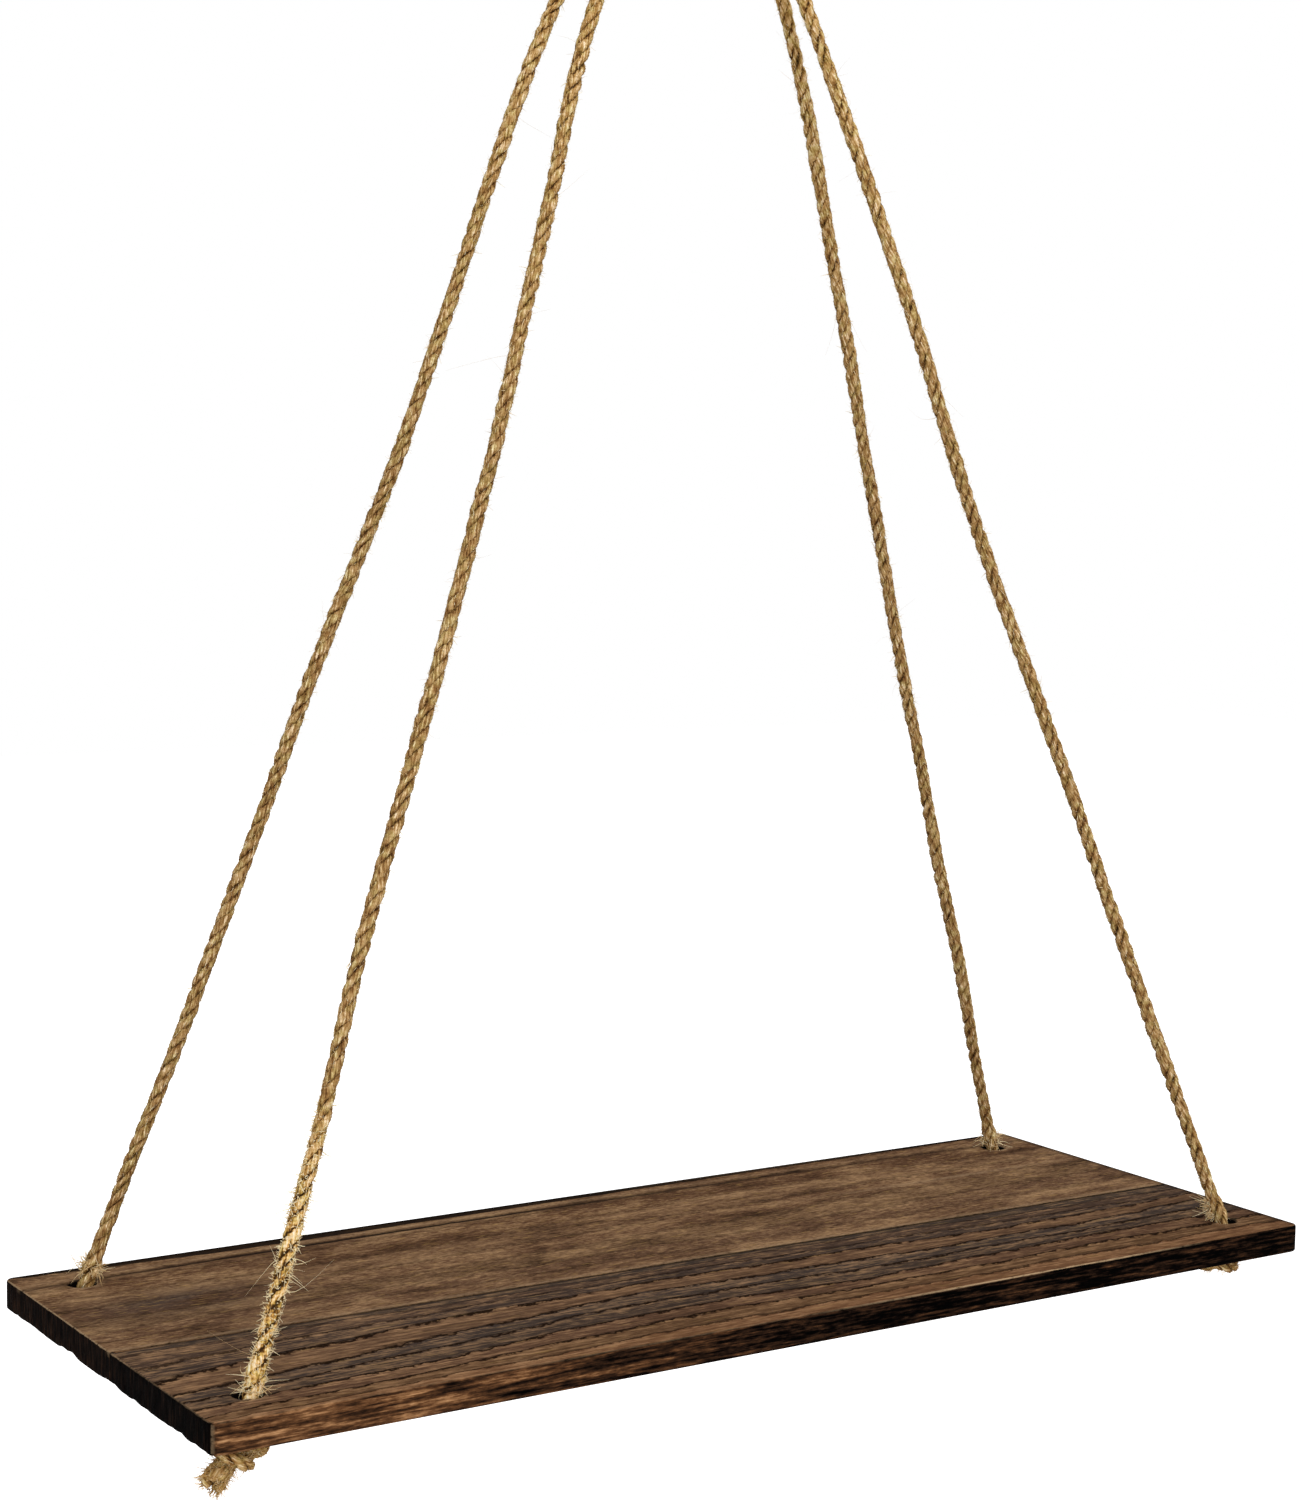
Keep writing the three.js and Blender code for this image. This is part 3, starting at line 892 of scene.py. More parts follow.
@dataclass(frozen=True)
class ViewSizes:
    """The camera's place, in millimetres from the middle of the board's upper face."""

    azimuth: float = math.radians(-32.958)
    elevation: float = math.radians(5.209)
    roll: float = math.radians(0.83)
    across: float = -10.978
    above: float = 174.553
    distance: float = 961.377
    lens: float = 66.09
    sensor: float = 36.0


def add_camera(sizes: ShelfSizes, place: ViewSizes) -> None:
    """Place the camera at the photograph's viewing angle.

    Args:
        sizes: the shelf's sizes, which give the board's height.
        place: the camera's place.
    """
    a, e = place.azimuth, place.elevation
    back = Vector((math.sin(a) * math.cos(e), -math.cos(a) * math.cos(e), math.sin(e)))
    level = Vector((math.cos(a), math.sin(a), 0))
    rise = back.cross(level)
    right = math.cos(place.roll) * level + math.sin(place.roll) * rise
    up = math.cos(place.roll) * rise - math.sin(place.roll) * level
    eye = back * place.distance + right * place.across + up * place.above
    eye.z += sizes.board_top
    data = bpy.data.cameras.new("photo_view")
    data.lens = place.lens
    data.sensor_width = place.sensor
    data.clip_start = 0.01
    data.clip_end = 50
    camera = placed("photo_view", data)
    camera.matrix_world = Matrix.Translation(eye * MM) @ Matrix((right, up, back)).transposed().to_4x4()
    bpy.context.scene.camera = camera


def linear(hex_colour: str) -> tuple[float, float, float, float]:
    """Turn an sRGB hex colour into the linear colour that shaders take.

    Args:
        hex_colour: the colour, such as "#B08A4E".

    Returns:
        The linear colour with full alpha.
    """
    shares = [int(hex_colour[i : i + 2], 16) / 255 for i in (1, 3, 5)]
    curve = [c / 12.92 if c <= 0.04045 else ((c + 0.055) / 1.055) ** 2.4 for c in shares]
    return (*curve, 1.0)


def add_node(
    tree: bpy.types.NodeTree,
    kind: str,
    inputs: dict[int | str, object] | None = None,
    out: int | str = 0,
    stops: Ramp = (),
    stepped: bool = False,
    **settings: object,
) -> Socket | None:
    """Add a node with its settings and links.

    Args:
        tree: the node tree.
        kind: the node's type, without "ShaderNode".
        inputs: for each input, by number or name, a value, a hex colour or a socket to link.
        out: the output to give back.
        stops: a colour ramp's stops, each a place with its grey or hex colour.
        stepped: whether a colour ramp jumps from stop to stop.
        settings: the node's own settings.

    Returns:
        The output, or None for a node that has none.
    """
    node = tree.nodes.new("ShaderNode" + kind)
    for key, value in settings.items():
        setattr(node, key, value)
    for key, value in (inputs or {}).items():
        socket = node.inputs[key]
        if isinstance(value, Socket):
            tree.links.new(value, socket)
        else:
            socket.default_value = linear(value) if isinstance(value, str) else value
    if stops:
        ramp = node.color_ramp
        ramp.interpolation = "CONSTANT" if stepped else "LINEAR"
        ramp.elements.remove(ramp.elements[1])
        ramp.elements[0].position = stops[0][0]
        for number, (place, shade) in enumerate(stops):
            element = ramp.elements.new(place) if number else ramp.elements[0]
            element.color = linear(shade) if isinstance(shade, str) else (shade, shade, shade, 1)
    return node.outputs[out] if node.outputs else None


def new_material(name: str) -> tuple[bpy.types.Material, Adder]:
    """Make a material without nodes.

    Args:
        name: the material's name.

    Returns:
        The material, and the function that adds a node to it.
    """
    material = bpy.data.materials.new(name)
    material.use_nodes = True
    material.node_tree.nodes.clear()
    return material, partial(add_node, material.node_tree)


@dataclass(frozen=True)
class TwistedJute:
    """Jute, spun and laid up dry: matt and golden, with painted shade where strands touch, so that it is pale
    on their crests.
    """

    name: str = "twisted_jute"
    tones: Ramp = (
        (0.0, "#4A2A08"), (0.2, "#78501F"), (0.45, "#A07C46"), (0.68, "#C6A974"), (0.95, "#FBEBCB"),
    )
    bleached: Ramp = (
        (0.0, "#44290A"), (0.18, "#83591B"), (0.38, "#C7993F"), (0.6, "#EDCB86"), (0.9, "#FFF8E0"),
    )
    olive: str = "#8C8150"
    pink: str = "#CB9670"
    hue_share: float = 0.24
    girth_mm: float = 8.4
    fibre_width_mm: float = 0.7
    fibre_length_mm: float = 2.8
    yarn_patches: tuple[float, float] = (4.5, 3.0)
    blotch_mm: float = 4.5

    def make(self) -> bpy.types.Material:
        """Make the material, whose streaks follow the yarns through the piece's own UV map.

        Returns:
            The material.
        """
        material, add = new_material(self.name)
        lay = add("UVMap", uv_map="lay")
        crest = add("Attribute", out="Fac", attribute_name="crest")
        bleach = add("Attribute", out="Fac", attribute_name="bleach")
        place = add("TexCoord", out="Object")
        fine = (self.girth_mm / self.fibre_width_mm, LAY_UNIT / self.fibre_length_mm)
        noises = []
        for scale in (fine, self.yarn_patches):
            spread = add("Mapping", {"Vector": lay, "Scale": (*scale, 1)})
            noises.append(add("TexNoise", {"Vector": spread, "Scale": 1, "Detail": 4, "Roughness": 0.6}))
        streak, yarn = noises
        per_metre = 1 / (self.blotch_mm * MM)
        blotch = add("TexNoise", {"Vector": place, "Scale": per_metre, "Detail": 3})
        # Painted shade: darker towards the grooves where strands touch, by the crest attribute, and deeper on
        # paler rope.
        groove_shade = add("MapRange", {0: crest, 1: 0.05, 2: 0.95, 3: 1.0, 4: 0.0})
        depth = add("MapRange", {0: blotch, 1: 0.35, 2: 0.62, 3: 0.05, 4: 0.7})
        pale_groove_shade = add("Math", {0: bleach, 1: 1.6}, operation="MULTIPLY")
        depth = add("Math", {0: depth, 1: pale_groove_shade}, operation="MAXIMUM")
        level = add("Math", {0: groove_shade, 1: depth}, operation="MULTIPLY")
        level = add("Math", {0: level, 1: -0.8, 2: -1.33}, operation="MULTIPLY_ADD")
        level = add("Math", {0: bleach, 1: 0.13, 2: level}, operation="MULTIPLY_ADD")
        for grain, weight in ((streak, 2.2), (yarn, 1.1), (blotch, 0.4)):
            level = add("Math", {0: grain, 1: weight, 2: level}, operation="MULTIPLY_ADD")
        tone = add("ValToRGB", {0: level}, stops=self.tones)
        pale = add("ValToRGB", {0: level}, stops=self.bleached)
        colour = add("Mix", {0: bleach, 6: tone, 7: pale}, out=2, data_type="RGBA")
        hue = add("TexNoise", {"Vector": place, "Scale": 1.5 / (self.blotch_mm * MM), "Detail": 1})
        hue = add("ValToRGB", {0: hue}, stops=((0.4, self.olive), (0.6, self.pink)))
        mixed = {0: self.hue_share, 6: colour, 7: hue}
        colour = add("Mix", mixed, out=2, data_type="RGBA", blend_type="COLOR")
        bump = add("Bump", {"Strength": 0.6, "Distance": self.fibre_width_mm * MM, "Height": streak})
        inputs = {"Base Color": colour, "Roughness": 0.9, "Specular IOR Level": 0.1, "Normal": bump}
        surface = add("BsdfPrincipled", inputs)
        add("OutputMaterial", {"Surface": surface})
        return material


@dataclass(frozen=True)
class LooseFibre:
    """Single jute fibres that stand off the yarn: pale, slightly glossy and lit through."""

    name: str = "loose_jute_fibre"
    tones: Ramp = ((0.0, "#9A6F30"), (0.5, "#E0B870"), (1.0, "#FFF4D2"))
    clearness: float = 0.35

    def make(self) -> bpy.types.Material:
        """Make the material, which gives each fibre a tone of its own.

        Returns:
            The material.
        """
        material, add = new_material(self.name)
        tone = add("Attribute", out="Fac", attribute_name="tone")
        colour = add("ValToRGB", {0: tone}, stops=self.tones)
        inputs = {"Base Color": colour, "Roughness": 0.6, "Specular IOR Level": 0.3}
        surface = add("BsdfPrincipled", inputs)
        through = add("BsdfTranslucent", {"Color": colour})
        surface = add("MixShader", {0: self.clearness, 1: surface, 2: through})
        add("OutputMaterial", {"Surface": surface})
        return material


@dataclass(frozen=True)
class TorchedWood:
    """Softwood, torched and wire-brushed: brown early wood between thin, ragged, charred ring lines."""

    name: str
    bands: tuple[str, ...]
    dark: str
    light: str
    jagged: float
    streaks: float
    flecks: float
    clouds: float
    scratches: float
    ridge_highlights: float
    paler_left: float
    fleck_mm: tuple[float, float]
    fibre_mm: tuple[float, float]
    line: str = "#1A0E06"
    smoke: str = "#3A3331"
    scratch: str = "#A98750"
    # Bare wood where the char is rubbed off, also used for the painted highlight on the ledge beside the
    # crack.
    worn: str = "#A88C6C"
    # Near-black for the char along the seam and rims, and painted shade in the holes and along the crack.
    bore: str = "#0B0807"
    line_edges: Ramp = (
        (0.0, 1.0), (0.06, 0.95), (0.1, 0.15), (0.18, 0.0), (0.84, 0.0), (0.94, 0.4), (1.0, 1.0),
    )
    edge: Ramp = (
        (0.08, "#010101"), (0.2, "#0D0705"), (0.3, "#22160F"), (0.44, "#3A2517"),
        (0.62, "#624129"), (0.82, "#9A704B"), (1.0, "#C29469"),
    )
    end_grain: Ramp = (
        (0.36, "#010101"), (0.52, "#0C0807"), (0.66, "#1F1510"), (0.84, "#3B291E"),
    )

    def make(self) -> bpy.types.Material:
        """Make the material: rings from the stave's own attribute, fibres along the board.

        Returns:
            The material.
        """
        material, add = new_material(self.name)
        place = add("TexCoord", out="Object")
        spot = add("SeparateXYZ", {0: place}).node.outputs
        at = {"place": place, "x": spot["X"], "y": spot["Y"]}
        for mark in ("ring", "char", "groove", "worn", "smoke"):
            at[mark] = add("Attribute", out="Fac", attribute_name=mark)
        self.add_patterns(add, at)
        colour = self.face(add, at)
        edge, butt = self.edges(add, at)
        turned = add("SeparateXYZ", {0: add("TexCoord", out="Normal")}).node.outputs
        for axis, dress in (("Y", edge), ("X", butt)):
            amount = add("Math", {0: turned[axis]}, operation="ABSOLUTE")
            amount = add("MapRange", {0: amount, 1: 0.4, 2: 0.7})
            colour = add("Mix", {0: amount, 6: colour, 7: dress}, out=2, data_type="RGBA")
        at.update(nx=turned["X"], ny=turned["Y"], nz=turned["Z"])
        worn = self.rubbed(add, at)
        # Bare wood where rubbed, and the painted highlight on the ledge beside the crack.
        colour = add("Mix", {0: worn, 6: colour, 7: self.worn}, out=2, data_type="RGBA")
        # Near-black: char along the seam and rims, painted shade in the holes' bores and along the crack.
        colour = add("Mix", {0: at["groove"], 6: colour, 7: self.bore}, out=2, data_type="RGBA")
        relief = add("Math", {0: at["streak"], 1: 0.7, 2: at["lines"]}, operation="MULTIPLY_ADD")
        bump = add("Bump", {"Strength": 0.5, "Distance": 0.0006, "Height": relief})
        inputs = {"Base Color": colour, "Roughness": 0.9, "Specular IOR Level": 0.01, "Normal": bump}
        surface = add("BsdfPrincipled", inputs)
        add("OutputMaterial", {"Surface": surface})
        return material

    def add_patterns(self, add: Adder, at: dict[str, Socket]) -> None:
        """Add the wood's patterns along the board, and its ragged ring lines with a painted highlight on the
        ridge beside each.

        Args:
            add: adds a node.
            at: the sockets made so far, by name.
        """
        sizes_mm = {
            "warp": (5, 3.5, 3.5),
            "streak": (*self.fibre_mm, self.fibre_mm[1]),
            "fleck": (*self.fleck_mm, 1.2),
            "cloud": (32, 13, 15),
            "flame": (32, 6, 2),
        }
        for name, sizes in sizes_mm.items():
            scale = tuple(1 / (size * MM) for size in sizes)
            spread = add("Mapping", {"Vector": at["place"], "Scale": scale})
            at[name] = add("TexNoise", {"Vector": spread, "Scale": 1, "Detail": 5, "Roughness": 0.62})
        ragged = add("Math", {0: at["warp"], 1: self.jagged, 2: at["ring"]}, operation="MULTIPLY_ADD")
        at["ragged"] = add("Math", {0: ragged, 1: self.jagged / 2}, operation="SUBTRACT")
        share = add("Math", {0: at["ragged"]}, operation="FRACT")
        # Painted highlight: a paler band just behind each ring line, where its raised ridge catches the
        # light.
        ridge_highlight_edges = ((0.1, 0.0), (0.2, 1.0), (0.3, 0.8), (0.5, 0.0))
        for name, stops in (("lines", self.line_edges), ("lip", ridge_highlight_edges)):
            shade = add("ValToRGB", {0: share}, stops=stops)
            at[name] = add("Math", {0: shade, 1: at["char"]}, operation="MULTIPLY")

    def face(self, add: Adder, at: dict[str, Socket]) -> Socket:
        """Add the colour of the upper and lower faces.

        Args:
            add: adds a node.
            at: the sockets made so far, by name.

        Returns:
            The colour.
        """
        tenth = add("Math", {0: at["ragged"], 1: 0.1}, operation="MULTIPLY")
        bands = tuple((number / 10, tone) for number, tone in enumerate(self.bands))
        face = add("ValToRGB", {0: tenth}, stops=bands, stepped=True)
        level = (1 - self.streaks - self.flecks - self.clouds) / 2
        # The ridge highlight weight lightens the ridge beside each ring line as painted highlight.
        weights = {"streak": self.streaks, "fleck": self.flecks, "cloud": self.clouds, "lip": self.ridge_highlights}
        for name, weight in weights.items():
            level = add("Math", {0: at[name], 1: weight, 2: level}, operation="MULTIPLY_ADD")
        paler = add("MapRange", {0: at["x"], 1: -0.19, 2: -0.06, 3: self.paler_left, 4: 0.0})
        level = add("Math", {0: level, 1: paler}, operation="ADD")
        below = add("MapRange", {0: level, 1: 0.0, 2: 0.5})
        above = add("MapRange", {0: level, 1: 0.5, 2: 1.0})
        face = add("Mix", {0: below, 6: self.dark, 7: face}, out=2, data_type="RGBA")
        face = add("Mix", {0: above, 6: face, 7: self.light}, out=2, data_type="RGBA")
        hazy = add("MapRange", {0: at["cloud"], 1: 0.3, 2: 0.6})
        hazy = add("Math", {0: at["smoke"], 1: hazy}, operation="MULTIPLY")
        face = add("Mix", {0: hazy, 6: face, 7: self.smoke}, out=2, data_type="RGBA")
        scale = tuple(1 / (size * MM) for size in (*self.fibre_mm, self.fibre_mm[1]))
        askew = add("Mapping", {"Vector": at["place"], "Rotation": (0, 0, 0.3), "Scale": scale})
        scored = add("TexNoise", {"Vector": askew, "Scale": 0.8, "Detail": 2})
        scored = add("MapRange", {0: scored, 1: 0.62, 2: 0.72, 4: self.scratches})
        face = add("Mix", {0: scored, 6: face, 7: self.scratch}, out=2, data_type="RGBA")
        return add("Mix", {0: at["lines"], 6: face, 7: self.line}, out=2, data_type="RGBA")

    def edges(self, add: Adder, at: dict[str, Socket]) -> tuple[Socket, Socket]:
        """Add the colours of the burnt long edge and of the sawn end.

        The flames grow towards the right, and the saw's marks are 25 by 0.7 by 6 mm.

        Args:
            add: adds a node.
            at: the sockets made so far, by name.

        Returns:
            The two colours.
        """
        burnt = add("MapRange", {0: at["x"], 1: -0.18, 2: 0.02, 3: -1.12, 4: -1.5})
        rear = add("MapRange", {0: at["y"], 1: -0.02, 2: 0.02, 3: 0.0, 4: -0.3})
        burnt = add("Math", {0: burnt, 1: rear}, operation="ADD")
        for name, weight in (("flame", 1.7), ("streak", 1.0), ("fleck", 0.7)):
            burnt = add("Math", {0: at[name], 1: weight, 2: burnt}, operation="MULTIPLY_ADD")
        edge = add("ValToRGB", {0: burnt}, stops=self.edge)
        sawn = add("Mapping", {"Vector": at["place"], "Scale": (40, 1430, 170)})
        sawn = add("TexNoise", {"Vector": sawn, "Scale": 1, "Detail": 4})
        browner = add("MapRange", {0: at["y"], 1: -0.014, 2: 0.0, 3: -0.05, 4: 0.08})
        sawn = add("Math", {0: sawn, 1: browner}, operation="ADD")
        return edge, add("ValToRGB", {0: sawn}, stops=self.end_grain)

    def rubbed(self, add: Adder, at: dict[str, Socket]) -> Socket:
        """Add how far the char is rubbed off, with the painted highlight on the ledge beside the crack: the
        marked places, the lower rims and the corners.

        Args:
            add: adds a node.
            at: the sockets made so far, by name.

        Returns:
            The share that shows bare wood, the painted highlight included.
        """
        worn, late_stops = at["worn"], ((0.0, 0.15), (0.07, 1.0), (0.13, 1.0), (0.17, 0.0))
        late = add("ValToRGB", {0: at["x"]}, stops=late_stops)
        early = add("MapRange", {0: at["y"], 1: -0.03, 2: 0.0, 3: 0.2, 4: 0.8})
        for across, limit, share in (("ny", -0.3, late), ("nx", -0.36, early)):
            rim = add("Math", {0: at[across], 1: at["nz"]}, operation="MULTIPLY")
            rim = add("MapRange", {0: rim, 1: limit, 2: -0.48})
            rim = add("Math", {0: rim, 1: share}, operation="MULTIPLY")
            worn = add("Math", {0: worn, 1: rim}, operation="MAXIMUM")
        corner = add("Math", {0: at["nx"], 1: at["ny"]}, operation="MULTIPLY")
        corner = add("MapRange", {0: corner, 1: 0.45, 2: 0.5, 4: 0.3})
        worn = add("Math", {0: worn, 1: corner}, operation="MAXIMUM")
        patchy = add("MapRange", {0: at["fleck"], 1: 0.3, 2: 0.5})
        return add("Math", {0: worn, 1: patchy}, operation="MULTIPLY")


@dataclass(frozen=True)
class ZincPlatedSteel:
    """Drawn steel wire with a thin zinc plating: grey, satin and faintly blotched."""

    name: str = "zinc_plated_steel"
    dull: str = "#717377"
    bright: str = "#A7A9AD"
    blotch_mm: float = 4.5

    def make(self) -> bpy.types.Material:
        """Make the material, whose blotches shine more and less.

        Returns:
            The material.
        """
        material, add = new_material(self.name)
        place = add("TexCoord", out="Object")
        cloud = add("TexNoise", {"Vector": place, "Scale": 1 / (self.blotch_mm * MM), "Detail": 4})
        tone = add("ValToRGB", {0: cloud}, stops=((0.3, self.dull), (0.7, self.bright)))
        rough = add("MapRange", {0: cloud, 3: 0.28, 4: 0.46})
        surface = add("BsdfPrincipled", {"Base Color": tone, "Metallic": 1.0, "Roughness": rough})
        add("OutputMaterial", {"Surface": surface})
        return material


@dataclass
class RopeMaker:
    """Makes one rope's pieces as meshes, and says how each of them moves."""

    rope: Rope
    sizes: ShelfSizes
    jute: bpy.types.Material

    def __post_init__(self) -> None:
        """Work out the rope's rings."""
        self.strands = [self.rope.rings(strand) for strand in range(self.rope.strands)]
        self.bleach = self.rope.bleach()

    def piece(self, stretch: Stretch) -> bpy.types.Object:
        """Make the mesh of one stretch of the rope.

        Args:
            stretch: the stretch.

        Returns:
            The new piece, at rest and riding on nothing yet.
        """
        rope, sides, part = self.rope, self.rope.sides, stretch.rings
        count = part.stop - part.start
        i, j = np.meshgrid(np.arange(count - 1), np.arange(sides), indexing="ij")
        place = rope.place(np.stack((j, j + 1, j + 1, j), -1).ravel())
        along = (np.stack((i, i, i + 1, i + 1), -1).ravel() + stretch.start) * rope.step
        turn = rope.yarn_turn(place, along)
        verts, faces, lay, crest = [], [], [], []
        for strand, (rings, height) in enumerate(self.strands):
            verts.append(rings[part].reshape(-1, 3) * MM)
            crest.append(height[part].ravel())
            faces.append(tube_faces(count, sides) + strand * count * sides)
            lay.append(np.column_stack((turn + 5.3 * strand, along / LAY_UNIT)))
        obj = mesh_object(stretch.name + "_laid", np.vstack(verts), np.vstack(faces))
        mesh = obj.data
        layer = mesh.uv_layers.new(name="lay")
        layer.data.foreach_set("uv", np.vstack(lay).astype(np.float32).ravel())
        mark_points(mesh, "crest", np.concatenate(crest))
        mark_points(mesh, "bleach", np.tile(np.repeat(self.bleach[part], sides), len(self.strands)))
        close_ends(mesh)
        mesh.shade_smooth()
        mesh.materials.append(self.jute)
        return obj

    def carry(self, obj: bpy.types.Object, name: str) -> None:
        """Fix a piece to what the stretch of rope that it is or stands on rides with: stopper knots to the
        shelf's body, knot strands to the knot's body, and the rest baked in place.

        Args:
            obj: the piece.
            name: the stretch's name.
        """
        if name.endswith("stopper_knot"):
            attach(obj, "shelf")
        elif name.endswith("knot_strand"):
            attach(obj, "knot")
        elif name.endswith("leg"):
            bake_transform(obj)
        else:
            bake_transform(obj)
        LOG.info("%s: %d faces", obj.name, len(obj.data.polygons))

    def build(self) -> None:
        """Make all of the rope's pieces, hide the CAD nodes that they replace, fix each to its body or in
        place, and log each leg's length.
        """
        made = {}
        for stretch in self.rope.stretches:
            obj = self.piece(stretch)
            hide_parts(stretch.name)
            self.carry(obj, stretch.name)
            made[stretch.name] = obj
        for corner in self.rope.ends():
            line = self.rope.line(f"{corner.name}_leg")
            if corner.end is End.REAR:
                line = line[::-1]
            length = float(np.linalg.norm(np.diff(line, axis=0), axis=1).sum())
            made[f"{corner.name}_leg"]
            made[f"{corner.name}_stopper_knot"]
            made[f"{corner.name}_knot_strand"]
            LOG.info("%s leg: %.1f mm of rope", corner.name, length / MM)


@dataclass(frozen=True)
class Growth:
    """How one kind of loose fibre grows: its length and thickness in millimetres, way and tone.

    Its density is in fibres per millimetre of rope.
    """

    length: tuple[float, float]
    thickness: tuple[float, float] = (0.05, 0.09)
    ahead: tuple[float, float] = (-1.3, 1.3)
    curl: float = 0.5
    short: float = 2.5
    tone: tuple[float, float] = (0.1, 0.8)
    density: float = 0.0


SHORT_FUZZ = Growth((0.5, 1.6), (0.1, 0.2), (-1.6, 1.6), 0.4, 1.3, (0.45, 1.0), density=5)
THIN_FUZZ = replace(SHORT_FUZZ, density=4)
LAID_FIBRE = Growth((1.4, 3), (0.22, 0.34), (-4, 4), 0.1, 1.2, (0.85, 1.0), density=0.6)
STRAY_FIBRE = Growth((3, 7), (0.07, 0.12), curl=0.8, short=2.0, density=0.05)
CREAM_FUZZ = Growth((0.6, 1.6), (0.4, 0.65), (-0.6, 0.6), 0.4, 1.2, (0.88, 1.0), density=11)
CREAM_CURL = Growth((1.8, 4.0), (0.36, 0.5), (-0.8, 0.8), 0.9, 1.5, (0.9, 1.0), density=1.6)
LONG_ARC = Growth((5, 8), (0.42, 0.52), (-0.9, 0.3), 1.0, 1.0, (0.9, 1.0), density=0.04)
KNOT_FUZZ = Growth((0.8, 2.2), (0.12, 0.24), curl=0.8, short=1.5, tone=(0.2, 0.9), density=9)
WISP = Growth((1.6, 4.4), (0.36, 0.56), (-0.6, 0.6), 0.4, 1.2, (0.6, 1.0))
FRAYED_END = Growth((0.9, 2.6), (0.28, 0.5), (0.0, 2.4), 0.5, 1.4, (0.0, 0.8))


